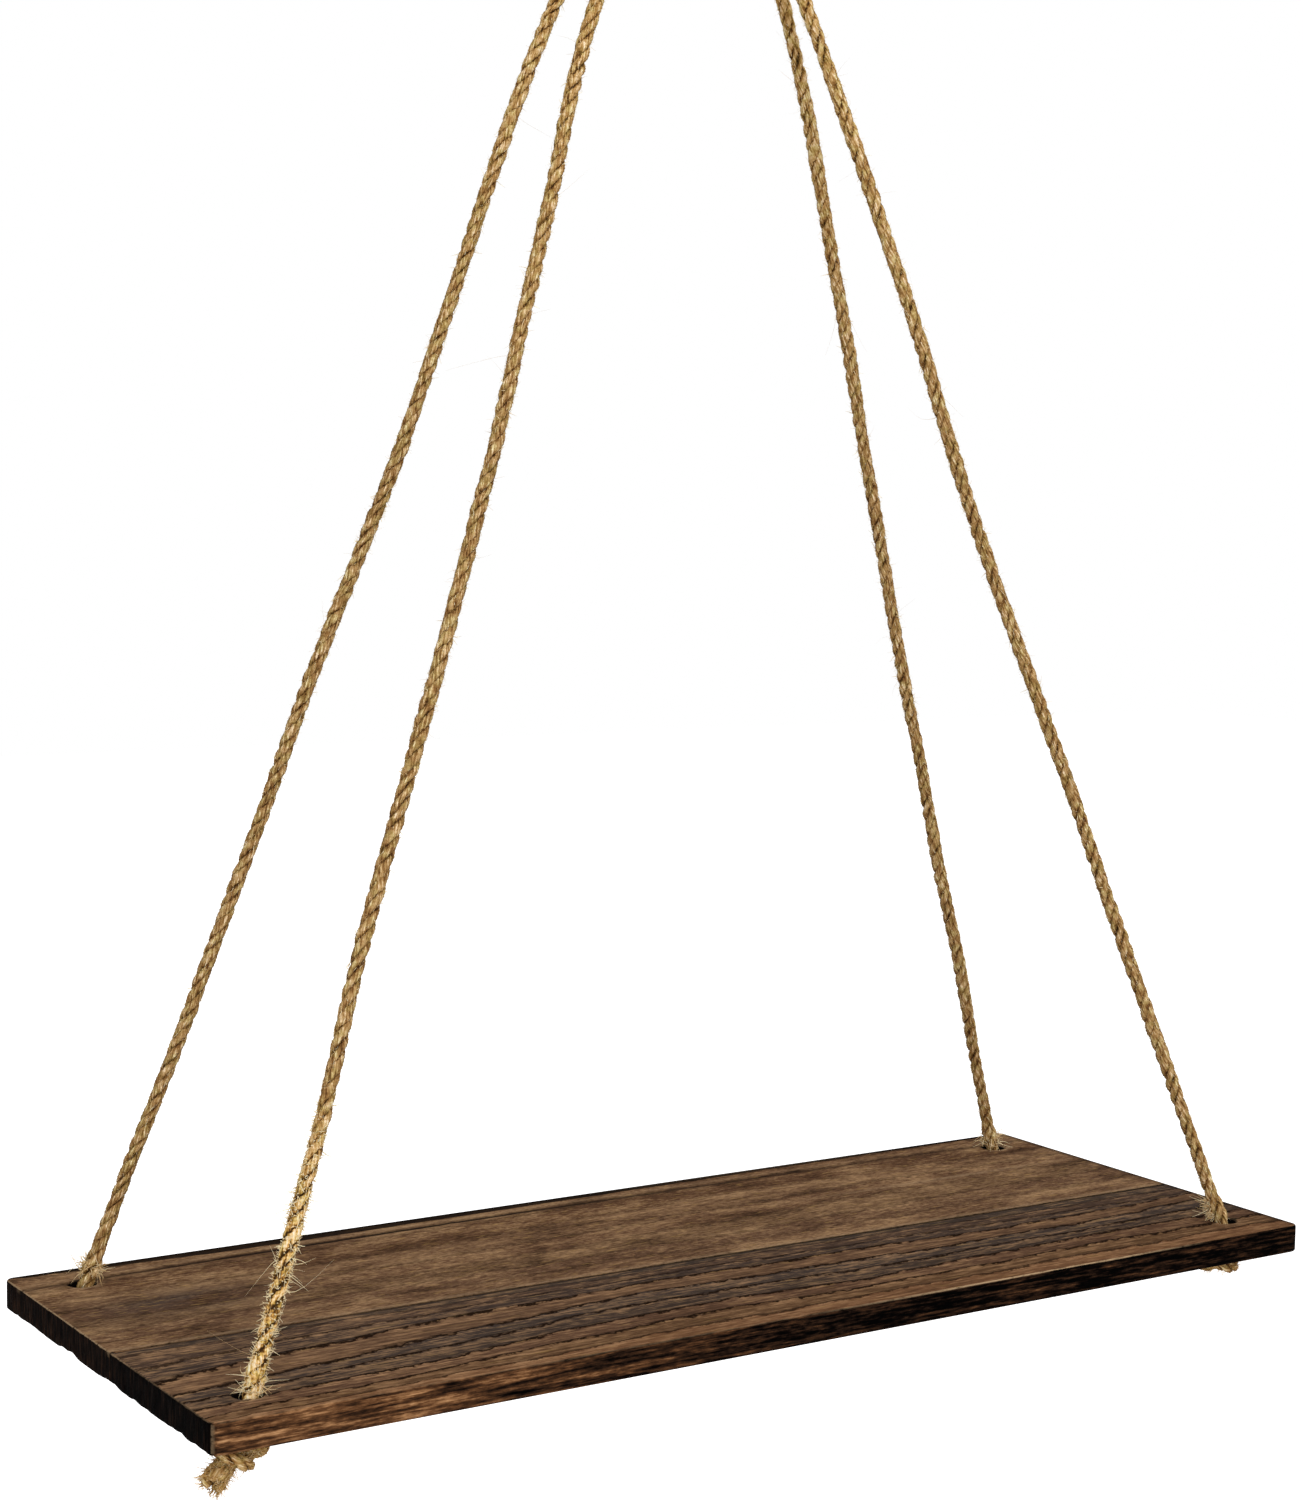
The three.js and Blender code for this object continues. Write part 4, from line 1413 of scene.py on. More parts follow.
@dataclass
class FibreMaker:
    """Makes the loose fibres that stand off one rope: its fuzz, its wisps and its frayed ends."""

    maker: RopeMaker
    finish: bpy.types.Material
    rings: int = 5
    sides: int = 3
    taper: float = 0.8
    root_share: float = 0.86
    own_way: float = 0.55
    scatter: float = 0.3
    cream_fade: float = 35
    curl_fade: float = 30
    curl_patches: tuple[float, float] = (0.1, 6)
    arc_margins: tuple[float, float] = (8, 10)

    def __post_init__(self) -> None:
        """Start the rope's own row of random numbers."""
        self.random = np.random.default_rng(7 + self.maker.rope.side.value)

    def grown(self, ring: np.ndarray, kind: Growth, fan: float | None = None) -> np.ndarray:
        """Grow fibres from the rope's surface.

        Args:
            ring: the ring of the rope on which each fibre stands.
            kind: the kind of fibre.
            fan: the azimuth to which all the fibres lean, or None where they stand all round.

        Returns:
            A row for each fibre: its foot, way, two bends, length, thickness and tone.
        """
        rope, count = self.maker.rope, len(ring)
        turn = self.random.uniform(0, math.tau, count)[:, None]
        out = np.cos(turn) * rope.normal[ring] + np.sin(turn) * rope.cross[ring]
        if fan is not None:
            out = unit(out * self.own_way + np.array((math.cos(fan), math.sin(fan), 0.0)))
        foot = rope.points[ring] + out * (rope.reach * self.root_share)[ring][:, None]
        slide = self.random.uniform(*kind.ahead, (count, 1))
        way = unit(out + rope.ahead[ring] * slide + self.random.normal(0, self.scatter, (count, 3)))
        bends = self.random.normal(0, kind.curl, (count, 6))
        low, high = kind.length
        size = low + (high - low) * self.random.random((count, 1)) ** kind.short
        thickness = self.random.uniform(*kind.thickness, (count, 1))
        tone = self.random.uniform(*kind.tone, (count, 1))
        return np.hstack((foot, way, bends, size, thickness, tone))

    def on(
        self, name: str, density: float, low: float = -math.inf, high: float = math.inf, fade: float = 0.0
    ) -> np.ndarray:
        """Choose the rings of a stretch on which fibres stand.

        Args:
            name: the stretch's name.
            density: the fibres per millimetre.
            low: the least height of the rings.
            high: the greatest height of the rings.
            fade: how far below the greatest height the fibres begin to thin out.

        Returns:
            A ring for each fibre.
        """
        rope = self.maker.rope
        stretch = rope.stretch(name)
        count = round((stretch.stop - stretch.start) * rope.step * density)
        ring = self.random.integers(stretch.start, stretch.stop + 1, count)
        height = rope.points[ring, 2]
        return ring[(height > low) & (height + self.random.random(count) * fade < high)]

    def fringe(self, name: str, kind: Growth, *limits: float) -> np.ndarray:
        """Grow one kind of fibre all along a stretch.

        Args:
            name: the stretch's name.
            kind: the kind of fibre.
            limits: the least and greatest height, and how far below that the fibres thin out.

        Returns:
            The grown fibres.
        """
        return self.grown(self.on(name, kind.density, *limits), kind)

    def piece(self, name: str, rows: list[np.ndarray], carrier: str) -> None:
        """Make one piece out of fibres.

        Args:
            name: the piece's name.
            rows: the grown fibres.
            carrier: the stretch of rope that they move with.
        """
        grown = np.vstack(rows)
        foot, way, bend, hook = [grown[:, k : k + 3] for k in (0, 3, 6, 9)]
        size, thickness, tone = grown[:, 12:13], grown[:, 13:14], grown[:, 14]
        first = unit(np.cross(way, bend))
        second = np.cross(way, first)
        points = []
        for t in np.linspace(0, 1, self.rings + 1):
            middle = foot + (way * t + bend * t**2 + hook * t**3) * size
            thin = thickness / 2 * (1 - self.taper * t)
            for a in math.tau * np.arange(self.sides) / self.sides:
                points.append(middle + thin * (math.cos(a) * first + math.sin(a) * second))
        verts = np.stack(points, axis=1)
        count, own = verts.shape[:2]
        base = np.arange(count)[:, None, None] * own
        faces = (tube_faces(self.rings + 1, self.sides)[None] + base).reshape(-1, 4)
        obj = mesh_object(name, verts.reshape(-1, 3) * MM, faces)
        mark_points(obj.data, "tone", np.repeat(tone, own))
        close_ends(obj.data)
        obj.data.materials.append(self.finish)
        self.maker.carry(obj, carrier)

    def leg(self, corner: Corner) -> list[np.ndarray]:
        """Grow the fuzz of a leg, thick and pale on the frayed foot of one of them.

        Args:
            corner: the leg's corner.

        Returns:
            The grown fibres, one kind after another.
        """
        s, name = self.maker.sizes, f"{corner.name}_leg"
        foot, top = s.board_top, s.board_top + s.frayed_height
        rows = [self.fringe(name, kind, foot) for kind in (SHORT_FUZZ, LAID_FIBRE, STRAY_FIBRE)]
        if corner.bleached:
            rows.append(self.fringe(name, CREAM_FUZZ, foot, top, self.cream_fade))
            curls = self.on(name, CREAM_CURL.density, foot, top, self.curl_fade)
            limit, length = self.curl_patches
            patches = self.maker.rope.unevenness((1, length), NoiseRow.CURLS)
            rows.append(self.grown(curls[patches[curls] > limit], CREAM_CURL))
            above, below = self.arc_margins
            rows.append(self.fringe(name, LONG_ARC, foot + above, top - below))
        return rows

    def end(self, corner: Corner) -> list[np.ndarray]:
        """Grow a rope end's fibres: wisps at its hole, fuzz on its knot and its frayed tip.

        Args:
            corner: the end's corner.

        Returns:
            The grown fibres, one kind after another.
        """
        top, rope = self.maker.sizes.board_top, self.maker.rope
        stopper = f"{corner.name}_stopper_knot"
        low, high, count = corner.wisps
        low, high = top + low, top + high
        near = self.on(f"{corner.name}_leg", count / (high - low), low, high)
        rows = [self.grown(near, WISP, corner.fan), self.fringe(stopper, KNOT_FUZZ)]
        knot = rope.stretch(stopper)
        reach = round(corner.opening[0] / rope.step)
        if corner.end is End.FRONT:
            tip, kind = (knot.start, knot.start + reach), replace(FRAYED_END, ahead=(-2.4, 0.0))
        else:
            tip, kind = (knot.stop - reach, knot.stop), FRAYED_END
        rows.append(self.grown(self.random.integers(*tip, corner.fray), kind))
        return rows

    def build(self) -> None:
        """Make the fuzz of the rope's legs, knot and bight, and the tufts at its ends."""
        knot = []
        for corner in self.maker.rope.ends():
            self.piece(f"{corner.name}_leg_fuzz", self.leg(corner), f"{corner.name}_leg")
            self.piece(f"{corner.name}_tuft", self.end(corner), f"{corner.name}_stopper_knot")
            knot.append(self.fringe(f"{corner.name}_knot_strand", THIN_FUZZ))
        side = self.maker.rope.side.name.lower()
        self.piece(f"{side}_rope_knot_fuzz", knot, f"{side}_rope_front_knot_strand")
        bight = f"{side}_rope_bight"
        self.piece(bight + "_fuzz", [self.fringe(bight, THIN_FUZZ)], bight)


@dataclass(frozen=True)
class GrainLine:
    """One dark ring line on a stave: its places across the board at the stations, and its strength."""

    across: tuple[float, ...]
    strength: float


STATIONS = (-215, -130, -45, 40, 125, 215)
FRONT_GRAIN = (
    GrainLine((-14, -15, -16.5, -16, -20, -22), 0.6),
    GrainLine((-28, -22.5, -21, -23, -26, -29), 0.8),
    GrainLine((-42, -31, -27.5, -29, -33, -30), 1.0),
    GrainLine((-57, -46.5, -37.5, -40.5, -42, -38), 1.0),
    GrainLine((-64, -55, -46.5, -50, -49.5, -47.5), 1.0),
    GrainLine((-71, -65, -57, -60, -56.5, -57), 1.0),
    GrainLine((-79, -73, -66, -68, -66, -66), 1.0),
    GrainLine((-83, -80, -76.5, -76, -75, -76), 0.8),
)
REAR_GRAIN = (
    GrainLine((79, 80, 81, 81, 80.5, 80), 0.3),
    GrainLine((63, 65, 68, 71, 72, 70), 0.35),
    GrainLine((50, 47, 51, 57, 58, 54), 0.3),
    GrainLine((38, 34, 35, 40, 45, 43), 0.4),
    GrainLine((25, 22, 22, 26, 30, 31), 0.3),
    GrainLine((12, 11, 10, 10, 14, 17), 0.35),
    GrainLine((1, 2, 0, -1, 1, 3), 0.3),
)
CRACK_LINE = (67.3, 71, 72.5, 72.5, 71.5, 70)
CRACK_STRENGTH = (0.6, 1.0, 1.0, 0.8, 0.5, 0.35)
CHARRED_RIM = (2.6, 6.6, 5.6, 4.2, 3.2, 2.6)
SMOKE_PATCH = ((-178, 30), (28, 12), 0.95)
YELLOW_PATCH = ((150, 35), (55, 1.6), 0.45)
# The marks beside a line, each with the distance of its middle, its reach and its strength.
SEAM_CHAR = (0, 1.2, 0.8)
SEAM_WEAR = (1.2, 1.3, 0.4)
# The next mark is painted shade: the crack is painted near-black.
CRACK = (0, 1.5, 1.0)
# The next mark is a painted highlight on the ledge beside the crack.
CRACK_HIGHLIGHT = (3.4, 1.4, 0.3)
END_RIM = (-0.4, 1.0, 0.9)
HOLE_RIM = (1, 1.1, 1.0)


@dataclass
class Stave:
    """One stave of the board: a torched plank with its grain, broken edges and two rope holes.

    In millimetres: the rim is the strip along the edges that stays smooth, the skin how near to a
    face a point counts as on it, the upper depth how far down the upper face's marks reach, and
    the chips how far they reach in from the ends and up from below.
    """

    sizes: ShelfSizes
    name: str
    end: End
    grain: tuple[GrainLine, ...]
    relief: float
    finish: TorchedWood
    slot: str
    hole_wear: float = 0.2
    grooved: bool = False
    cut_along: float = 4.0
    cut_across: float = 0.8
    cut_depths: tuple[float, ...] = (2, 3.5, 5, 6.5, 8)
    rim: float = 0.9
    skin: float = 0.05
    upper_depth: float = 1.0
    ridge_share: float = 0.09
    early_depth: float = 0.3
    roughness: float = 0.07
    groove_depth: float = 0.4
    underside_share: float = 0.6
    outer_strength: float = 0.2
    crack_waviness: float = 0.8
    rim_waviness: float = 1.1
    edge_waviness: float = 0.2
    butt_waviness: float = 0.25
    chips: tuple[float, float] = (5, 4)
    chip_height: float = 1.1

    def glue_line(self, x: np.ndarray | float) -> np.ndarray | float:
        """Give the glue line's place across the board at places along it.

        Args:
            x: the places along it.

        Returns:
            The place across it at each.
        """
        s = self.sizes
        middle = s.front_stave_width - s.board_width / 2
        return middle - s.glue_line_drift * x / s.board_length

    def holes(self) -> list[np.ndarray]:
        """Give the middles of the stave's rope holes on the upper face."""
        lines = KnottedLines(self.sizes)
        return [lines.hole(corner) for corner in CORNERS if corner.end is self.end]

    def plank(self) -> bpy.types.Object:
        """Make the plain plank with rounded corners, broken edges and drilled holes.

        Returns:
            The plank, in millimetres.
        """
        s = self.sizes
        outer = self.end.value * s.board_width / 2
        bm = bmesh.new()
        bmesh.ops.create_cube(bm, size=1.0)
        for v in bm.verts:
            v.co.x *= s.board_length
            glued = v.co.y * self.end.value < 0
            v.co.y = self.glue_line(v.co.x) + self.end.value * s.glue_gap / 2 if glued else outer
            v.co.z = s.board_top if v.co.z > 0 else s.board_underside
        upright = [e for e in bm.edges if is_upright(e) and abs(e.verts[0].co.y - outer) < 1]
        round_edges(bm, upright, s.corner_radius, 5)
        seam = [e for e in bm.edges if not is_upright(e) and self.is_seam(e)]
        rims = [e for e in bm.edges if not is_upright(e) and not self.is_seam(e)]
        round_edges(bm, rims, s.arris, 3)
        round_edges(bm, [e for e in seam if e.is_valid], s.glue_arris, 1)
        plank = to_object(bm, self.name)
        for hole in self.holes():
            self.drill(plank, hole)
        return plank

    def is_seam(self, edge: bmesh.types.BMEdge) -> bool:
        """Say whether an edge runs along the glue line."""
        return all(abs(v.co.y - self.glue_line(v.co.x)) < 1 for v in edge.verts)

    def drill(self, plank: bpy.types.Object, hole: np.ndarray) -> None:
        """Cut a rope hole with broken rims.

        Args:
            plank: the plank.
            hole: the hole's middle on the upper face.
        """
        s = self.sizes
        radius, half = s.hole_diameter / 2, s.board_thickness / 2
        bore, over = half - s.hole_arris, CUT_OVERRUN
        flared = radius + s.hole_arris + over
        outline = (
            (0, -half - over), (flared, -half - over), (radius, -bore),
            (radius, bore), (flared, half + over), (0, half + over),
        )
        bm = bmesh.new()
        turned_profile(bm, outline, 36)
        bmesh.ops.translate(bm, verts=bm.verts, vec=(hole[0], hole[1], s.board_top - half))
        cutter = to_object(bm, "hole_cutter")
        cut = plank.modifiers.new("hole", "BOOLEAN")
        cut.operation = "DIFFERENCE"
        cut.solver = "EXACT"
        cut.object = cutter
        seen = plank.evaluated_get(bpy.context.evaluated_depsgraph_get())
        mesh = bpy.data.meshes.new_from_object(seen)
        plank.modifiers.clear()
        plank.data = mesh
        bpy.data.objects.remove(cutter)

    def build(self) -> None:
        """Make the finished stave, with its ring lines raised and its grooves sunk."""
        s = self.sizes
        plank = self.plank()
        bm = bmesh.new()
        bm.from_mesh(plank.data)
        half = s.board_length / 2
        across = [v.co.y for v in bm.verts]
        cuts = [((x, 0, 0), (1, 0, 0)) for x in np.arange(2 - half, half, self.cut_along)]
        rows = np.arange(min(across) + 1.2, max(across) - self.rim, self.cut_across)
        cuts += [((0, y, 0), (0, 1, 0)) for y in rows]
        cuts += [((0, 0, s.board_top - depth), (0, 0, 1)) for depth in self.cut_depths]
        for point, way in cuts:
            geometry = bm.verts[:] + bm.edges[:] + bm.faces[:]
            bmesh.ops.bisect_plane(bm, geom=geometry, dist=0.001, plane_co=point, plane_no=way)
        bmesh.ops.triangulate(bm, faces=[f for f in bm.faces if len(f.verts) > 4])
        bm.to_mesh(plank.data)
        bm.free()
        self.dress(plank.data)
        plank.data.materials.clear()
        plank.data.materials.append(self.finish.make())
        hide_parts(f"board_{self.end.name.lower()}_stave")
        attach(plank, "shelf")
        LOG.info("%s: %d faces", plank.name, len(plank.data.polygons))

    def rings(self, x: np.ndarray, y: np.ndarray) -> tuple[np.ndarray, np.ndarray]:
        """Count the ring lines behind each place.

        Args:
            x: places along the board.
            y: places across it.

        Returns:
            The count, a whole number on each ring line with shares between them, and the strength
            of the lines around each place.
        """
        seam = self.glue_line(x)
        outer = np.full_like(x, self.end.value * (self.sizes.board_width / 2 + 0.5))
        rows = [np.maximum(seam, outer)]
        for number, line in enumerate(self.grain):
            wave = 0.55 * np.sin(x / 13 + 1.7 * number) + 0.3 * np.sin(x / 5.3 + number)
            rows.append(smooth_line(STATIONS, line.across, x) + wave)
        rows.append(np.minimum(seam, outer))
        strengths = [self.outer_strength, *(line.strength for line in self.grain), self.outer_strength]
        count, strength = np.zeros_like(x), np.full_like(x, self.outer_strength)
        for number, (upper, lower) in enumerate(zip(rows, rows[1:])):
            inside = (y <= upper) & (y > lower)
            share = ((upper - y) / (upper - lower))[inside]
            count[inside] = number + share
            strength[inside] = np.where(share < 0.5, *strengths[number : number + 2])
        count[y <= rows[-1]] = len(rows) - 1
        return count, strength

    def dress(self, mesh: bpy.types.Mesh) -> None:
        """Raise the ring lines, roughen the edges and keep the stave's marks for its finish.

        Args:
            mesh: the stave's mesh, in millimetres, which becomes metres.
        """
        flat = np.empty(len(mesh.vertices) * 3)
        mesh.vertices.foreach_get("co", flat)
        co = flat.reshape(-1, 3)
        plain = co.T.copy()
        marks = self.face_marks(*plain)
        self.shape(co, plain, marks)
        self.add_rim_marks(plain, marks)
        mesh.vertices.foreach_set("co", (co * MM).ravel())
        for name, values in marks.items():
            mark_points(mesh, name, values)
        mesh.update()
        mesh.shade_smooth()
        mesh.set_sharp_from_angle(angle=math.radians(35))

    def face_marks(self, x: np.ndarray, y: np.ndarray, z: np.ndarray) -> dict[str, np.ndarray]:
        """Work out the marks on the stave's faces.

        Args:
            x: places along the board.
            y: places across it.
            z: heights.

        Returns:
            For each mark, how strong it is at each place.
        """
        ring, char = self.rings(x, y)
        groove, worn, smoke = np.zeros((3, len(x)))
        above = (z > self.sizes.board_top - self.upper_depth).astype(float)
        seam = (y - self.glue_line(x)) * self.end.value
        if self.end is End.FRONT:
            groove = hump(seam, *SEAM_CHAR) * above
        else:
            worn = hump(seam, *SEAM_WEAR) * above
        marks = {"ring": ring, "char": char, "groove": groove, "worn": worn, "smoke": smoke}
        if self.grooved:
            ragged = noise_row(x / 7, y * 0, 21.0)
            line = y - (smooth_line(STATIONS, CRACK_LINE, x) + self.crack_waviness * ragged)
            length = smooth_line(STATIONS, CRACK_STRENGTH, x) * above
            band = smooth_line(STATIONS, CHARRED_RIM, x) + self.rim_waviness * ragged
            rim = np.clip(y - self.sizes.board_width / 2 + band, 0, 0.9)
            # The crack is painted near-black as shade; the band along the rear rim is char.
            marks["groove"] = np.maximum(hump(line, *CRACK) * length, rim * above)
            # Painted highlight on the ledge beside the crack, joined to the real wear.
            marks["worn"] = np.maximum(worn, hump(line, *CRACK_HIGHLIGHT) * length)
            for name, (middle, reach, most) in (("smoke", SMOKE_PATCH), ("worn", YELLOW_PATCH)):
                far = ((x - middle[0]) / reach[0]) ** 2 + ((y - middle[1]) / reach[1]) ** 2
                marks[name] = np.maximum(marks[name], most * np.exp(-far))
        return marks

    def shape(self, co: np.ndarray, plain: np.ndarray, marks: dict[str, np.ndarray]) -> None:
        """Raise the ring lines, cut the grooves, make the edges wavy and chip the ends' lower rims.

        Args:
            co: the stave's points, which are moved.
            plain: their places before that, in rows of x, y and z.
            marks: the marks on the faces.
        """
        s, (x, y, z) = self.sizes, plain
        share = marks["ring"] - np.floor(marks["ring"])
        ridge = hump(np.minimum(share, 1 - share), 0, self.ridge_share) * marks["char"]
        rough = noise_row(x / 9, y / 1.6, 3.0)
        lift = self.relief * (ridge - self.early_depth) + self.roughness * rough
        lift = lift - self.groove_depth * marks["groove"]
        inner = (np.abs(x) < s.board_length / 2 - self.rim) & (np.abs(y) < s.board_width / 2 - self.rim)
        top = (z > s.board_top - self.skin) & inner
        low = (z < s.board_underside + self.skin) & inner
        co[top, 2] += lift[top]
        co[low, 2] -= lift[low] * self.underside_share
        side = np.abs(y) > s.board_width / 2 - self.skin
        wave = noise_row(x / 14, z / 2.2, 8.0)
        co[side, 1] += np.sign(y[side]) * self.edge_waviness * wave[side]
        butt = np.abs(x) > s.board_length / 2 - self.skin
        wave = noise_row(y / 2.5, z / 9, 5.0)
        co[butt, 0] += np.sign(x[butt]) * self.butt_waviness * wave[butt]
        from_end, from_below = self.chips
        near = np.clip((np.abs(x) - s.board_length / 2 + from_end) / 4, 0, 1)
        near *= np.clip((s.board_underside + from_below - z) / 3, 0, 1)
        wave = noise_row(y / 17, x * 0, 9.0) + 0.45 * noise_row(y / 5, x * 0, 4.0)
        co[:, 2] += self.chip_height * near * np.clip(wave + 0.15, 0, 1)

    def add_rim_marks(self, plain: np.ndarray, marks: dict[str, np.ndarray]) -> None:
        """Paint shade into the holes as near-black, blacken the upper rim of the right end, and rub the
        holes' front rims.

        Args:
            plain: the stave's points before they were moved, in rows of x, y and z.
            marks: the marks on the faces, to which these are added.
        """
        s, (x, y, z) = self.sizes, plain
        above = z > s.board_top - self.upper_depth
        for hole in self.holes():
            far = np.hypot(x - hole[0], y - hole[1])
            # Painted shade: each hole's bore is painted near-black.
            marks["groove"][(far < s.hole_diameter / 2 + 0.1) & (z < s.board_top - 0.5)] = 1
            lit = hump(far - s.hole_diameter / 2, *HOLE_RIM)
            lit *= np.clip((hole[1] - y) / far, 0, 1) * above
            marks["worn"] = np.maximum(marks["worn"], self.hole_wear * lit)
        end_rim = hump(x - s.board_length / 2, *END_RIM) * above
        marks["groove"] = np.maximum(marks["groove"], end_rim)


def is_upright(edge: bmesh.types.BMEdge) -> bool:
    """Say whether an edge of a plank stands upright."""
    return abs(edge.verts[0].co.z - edge.verts[1].co.z) > 1


def round_edges(bm: bmesh.types.BMesh, edges: list, offset: float, segments: int) -> None:
    """Round edges off.

    Args:
        bm: the mesh.
        edges: its edges.
        offset: how far the rounding reaches.
        segments: the faces across it.
    """
    shape = {"offset_type": "OFFSET", "profile": 0.5, "affect": "EDGES", "material": -1}
    bmesh.ops.bevel(bm, geom=edges, offset=offset, segments=segments, **shape)


def turned_profile(bm: bmesh.types.BMesh, outline: tuple, steps: int, closed: bool = False) -> None:
    """Turn an outline round the upright axis.

    Args:
        bm: the mesh that takes the turned shape.
        outline: the outline's distances from the axis and heights.
        steps: the faces round it.
        closed: whether the outline's last point joins its first.
    """
    ring = [bm.verts.new((x, 0, z)) for x, z in outline]
    edges = [bm.edges.new(pair) for pair in zip(ring, ring[1:] + (ring[:1] if closed else []))]
    about = {"cent": (0, 0, 0), "axis": (0, 0, 1), "angle": math.tau}
    bmesh.ops.spin(bm, geom=ring + edges, steps=steps, use_merge=True, **about)
    bmesh.ops.remove_doubles(bm, verts=bm.verts, dist=1e-5)
    bmesh.ops.recalc_face_normals(bm, faces=bm.faces)


def to_object(bm: bmesh.types.BMesh, name: str) -> bpy.types.Object:
    """Turn a mesh under construction into an object.

    Args:
        bm: the mesh, which is freed.
        name: the object's name.

    Returns:
        The object.
    """
    mesh = bpy.data.meshes.new(name)
    bm.to_mesh(mesh)
    bm.free()
    return placed(name, mesh)


def noise_row(x: np.ndarray, y: np.ndarray, z: float) -> np.ndarray:
    """Give smooth noise at many places.

    Args:
        x: the places' first coordinate.
        y: their second coordinate.
        z: their third coordinate.

    Returns:
        The noise there, from -1 to 1.
    """
    return np.array([noise.noise((a, b, z)) for a, b in zip(x, y)])


def smooth_line(stations: tuple[float, ...], values: tuple[float, ...], x: np.ndarray) -> np.ndarray:
    """Draw a smooth line through values at stations.

    Args:
        stations: the places with a known value, in order.
        values: the values there.
        x: the places asked for.

    Returns:
        The line's values there.
    """
    xs, ys = np.array(stations, dtype=float), np.array(values, dtype=float)
    slopes = np.gradient(ys, xs)
    i = np.clip(np.searchsorted(xs, x) - 1, 0, len(xs) - 2)
    width = xs[i + 1] - xs[i]
    t = np.clip((x - xs[i]) / width, 0, 1)
    start, stop = ys[i], ys[i + 1]
    hill = slopes[i] * width * t * (1 - t) ** 2 - slopes[i + 1] * width * t**2 * (1 - t)
    return start + (stop - start) * t**2 * (3 - 2 * t) + hill


@dataclass
class CeilingHook:
    """The screw hook: bent wire with a collar and a threaded, tapered end."""

    sizes: ShelfSizes
    sides: int = 20
    collar_sides: int = 48
    ring_spacing: float = 0.6
    screw_step: float = 0.2
    thread_pitch: float = 1.8
    thread_depth: float = 0.45
    thread_width: float = 0.22
    thread_start: tuple[float, float] = (2, 1.5)
    plain_length: float = 2.5
    tip_share: float = 0.08

    def line(self) -> np.ndarray:
        """Give close points on the wire's middle line, from the collar round to the tip.

        Returns:
            The points, one per row.
        """
        s = self.sizes
        points = [(0, -s.collar_thickness / 2), (0, -s.shank_length / 2)]
        for i in range(5):
            a = s.neck_angle * i / 5
            points.append((s.neck_radius * (1 - math.cos(a)), -s.shank_length - s.neck_radius * math.sin(a)))
        sweep = math.tau - (s.tip_angle - s.neck_angle)
        for i in range(25):
            a = s.neck_angle - sweep * i / 24
            points.append((s.hook_radius * math.cos(a), s.hook_centre + s.hook_radius * math.sin(a)))
        return curved([np.array((x, 0, z)) for x, z in points], self.ring_spacing)

    def angles(self) -> np.ndarray:
        """Give the places round the wire."""
        return math.tau * np.arange(self.sides) / self.sides

    def wire(self) -> tuple[np.ndarray, np.ndarray]:
        """Work out the bent wire, whose tip is rounded.

        Returns:
            Its points and its faces.
        """
        cap = self.sizes.wire_diameter / 2
        line = self.line()
        _, first, second = transported(line)
        back = np.linalg.norm(line - line[-1], axis=1)
        near = (back < cap) & (np.arange(len(line)) > len(line) / 2)
        radius = np.full(len(line), cap)
        radius[near] = np.sqrt(np.maximum(cap**2 - (cap - back[near]) ** 2, 0.0025))
        across, along = radius[:, None] * np.cos(self.angles()), radius[:, None] * np.sin(self.angles())
        rings = tube_rings(line, first, second, across, along)
        return rings.reshape(-1, 3), tube_faces(len(line), self.sides)

    def screw(self) -> tuple[np.ndarray, np.ndarray]:
        """Work out the tapered screw with its thread.

        Returns:
            Its points and its faces.
        """
        s = self.sizes
        heights = np.arange(-self.screw_step, s.screw_length, self.screw_step)
        z, a = np.meshgrid(heights, self.angles(), indexing="ij")
        core = s.wire_diameter / 2 - self.thread_depth
        taper = np.clip((s.screw_length - z) / s.screw_tip_length, self.tip_share, 1)
        turn = (z / self.thread_pitch + a / math.tau) % 1
        start, run = self.thread_start
        crest = np.clip(1 - np.abs(turn - 0.5) / self.thread_width, 0, 1) * np.clip((z - start) / run, 0, 1)
        plain = core + self.thread_depth * np.clip(1 - z / self.plain_length, 0, 1)
        radius = (plain + self.thread_depth * crest) * taper
        points = np.stack((radius * np.cos(a), radius * np.sin(a), z), -1).reshape(-1, 3)
        return points, tube_faces(len(heights), self.sides)

    def collar(self) -> tuple[tuple[float, float], ...]:
        """Give the collar's outline: its distances from the axis and heights, in metres.

        Returns:
            The outline's points.
        """
        s = self.sizes
        inner, outer = s.wire_diameter / 2, s.collar_diameter / 2
        thick, rim = s.collar_thickness, s.collar_rim
        outline = (
            (inner / 2, -thick), (inner + 0.6, -thick), ((inner + outer) / 2, -0.9 * thick),
            (0.9 * outer, -1.25 * rim), (outer, -0.75 * rim), (outer, -0.2), (outer - 0.2, 0), (inner / 2, 0),
        )
        return tuple((x * MM, z * MM) for x, z in outline)

    def build(self) -> None:
        """Make the hook in one piece."""
        wire, wire_faces = self.wire()
        screw, screw_faces = self.screw()
        verts = np.vstack((wire, screw)) * MM
        hook = mesh_object("screw_hook", verts, np.vstack((wire_faces, screw_faces + len(wire))))
        close_ends(hook.data)
        bm = bmesh.new()
        turned_profile(bm, self.collar(), self.collar_sides, closed=True)
        bm.from_mesh(hook.data)
        bmesh.ops.recalc_face_normals(bm, faces=bm.faces)
        bm.to_mesh(hook.data)
        bm.free()
        hook.data.shade_smooth()
        hook.data.set_sharp_from_angle(angle=math.radians(40))
        hook.data.materials.append(ZincPlatedSteel().make())
        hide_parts("ceiling_hook")
        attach(hook, "hook")
        LOG.info("%s: %d faces", hook.name, len(hook.data.polygons))


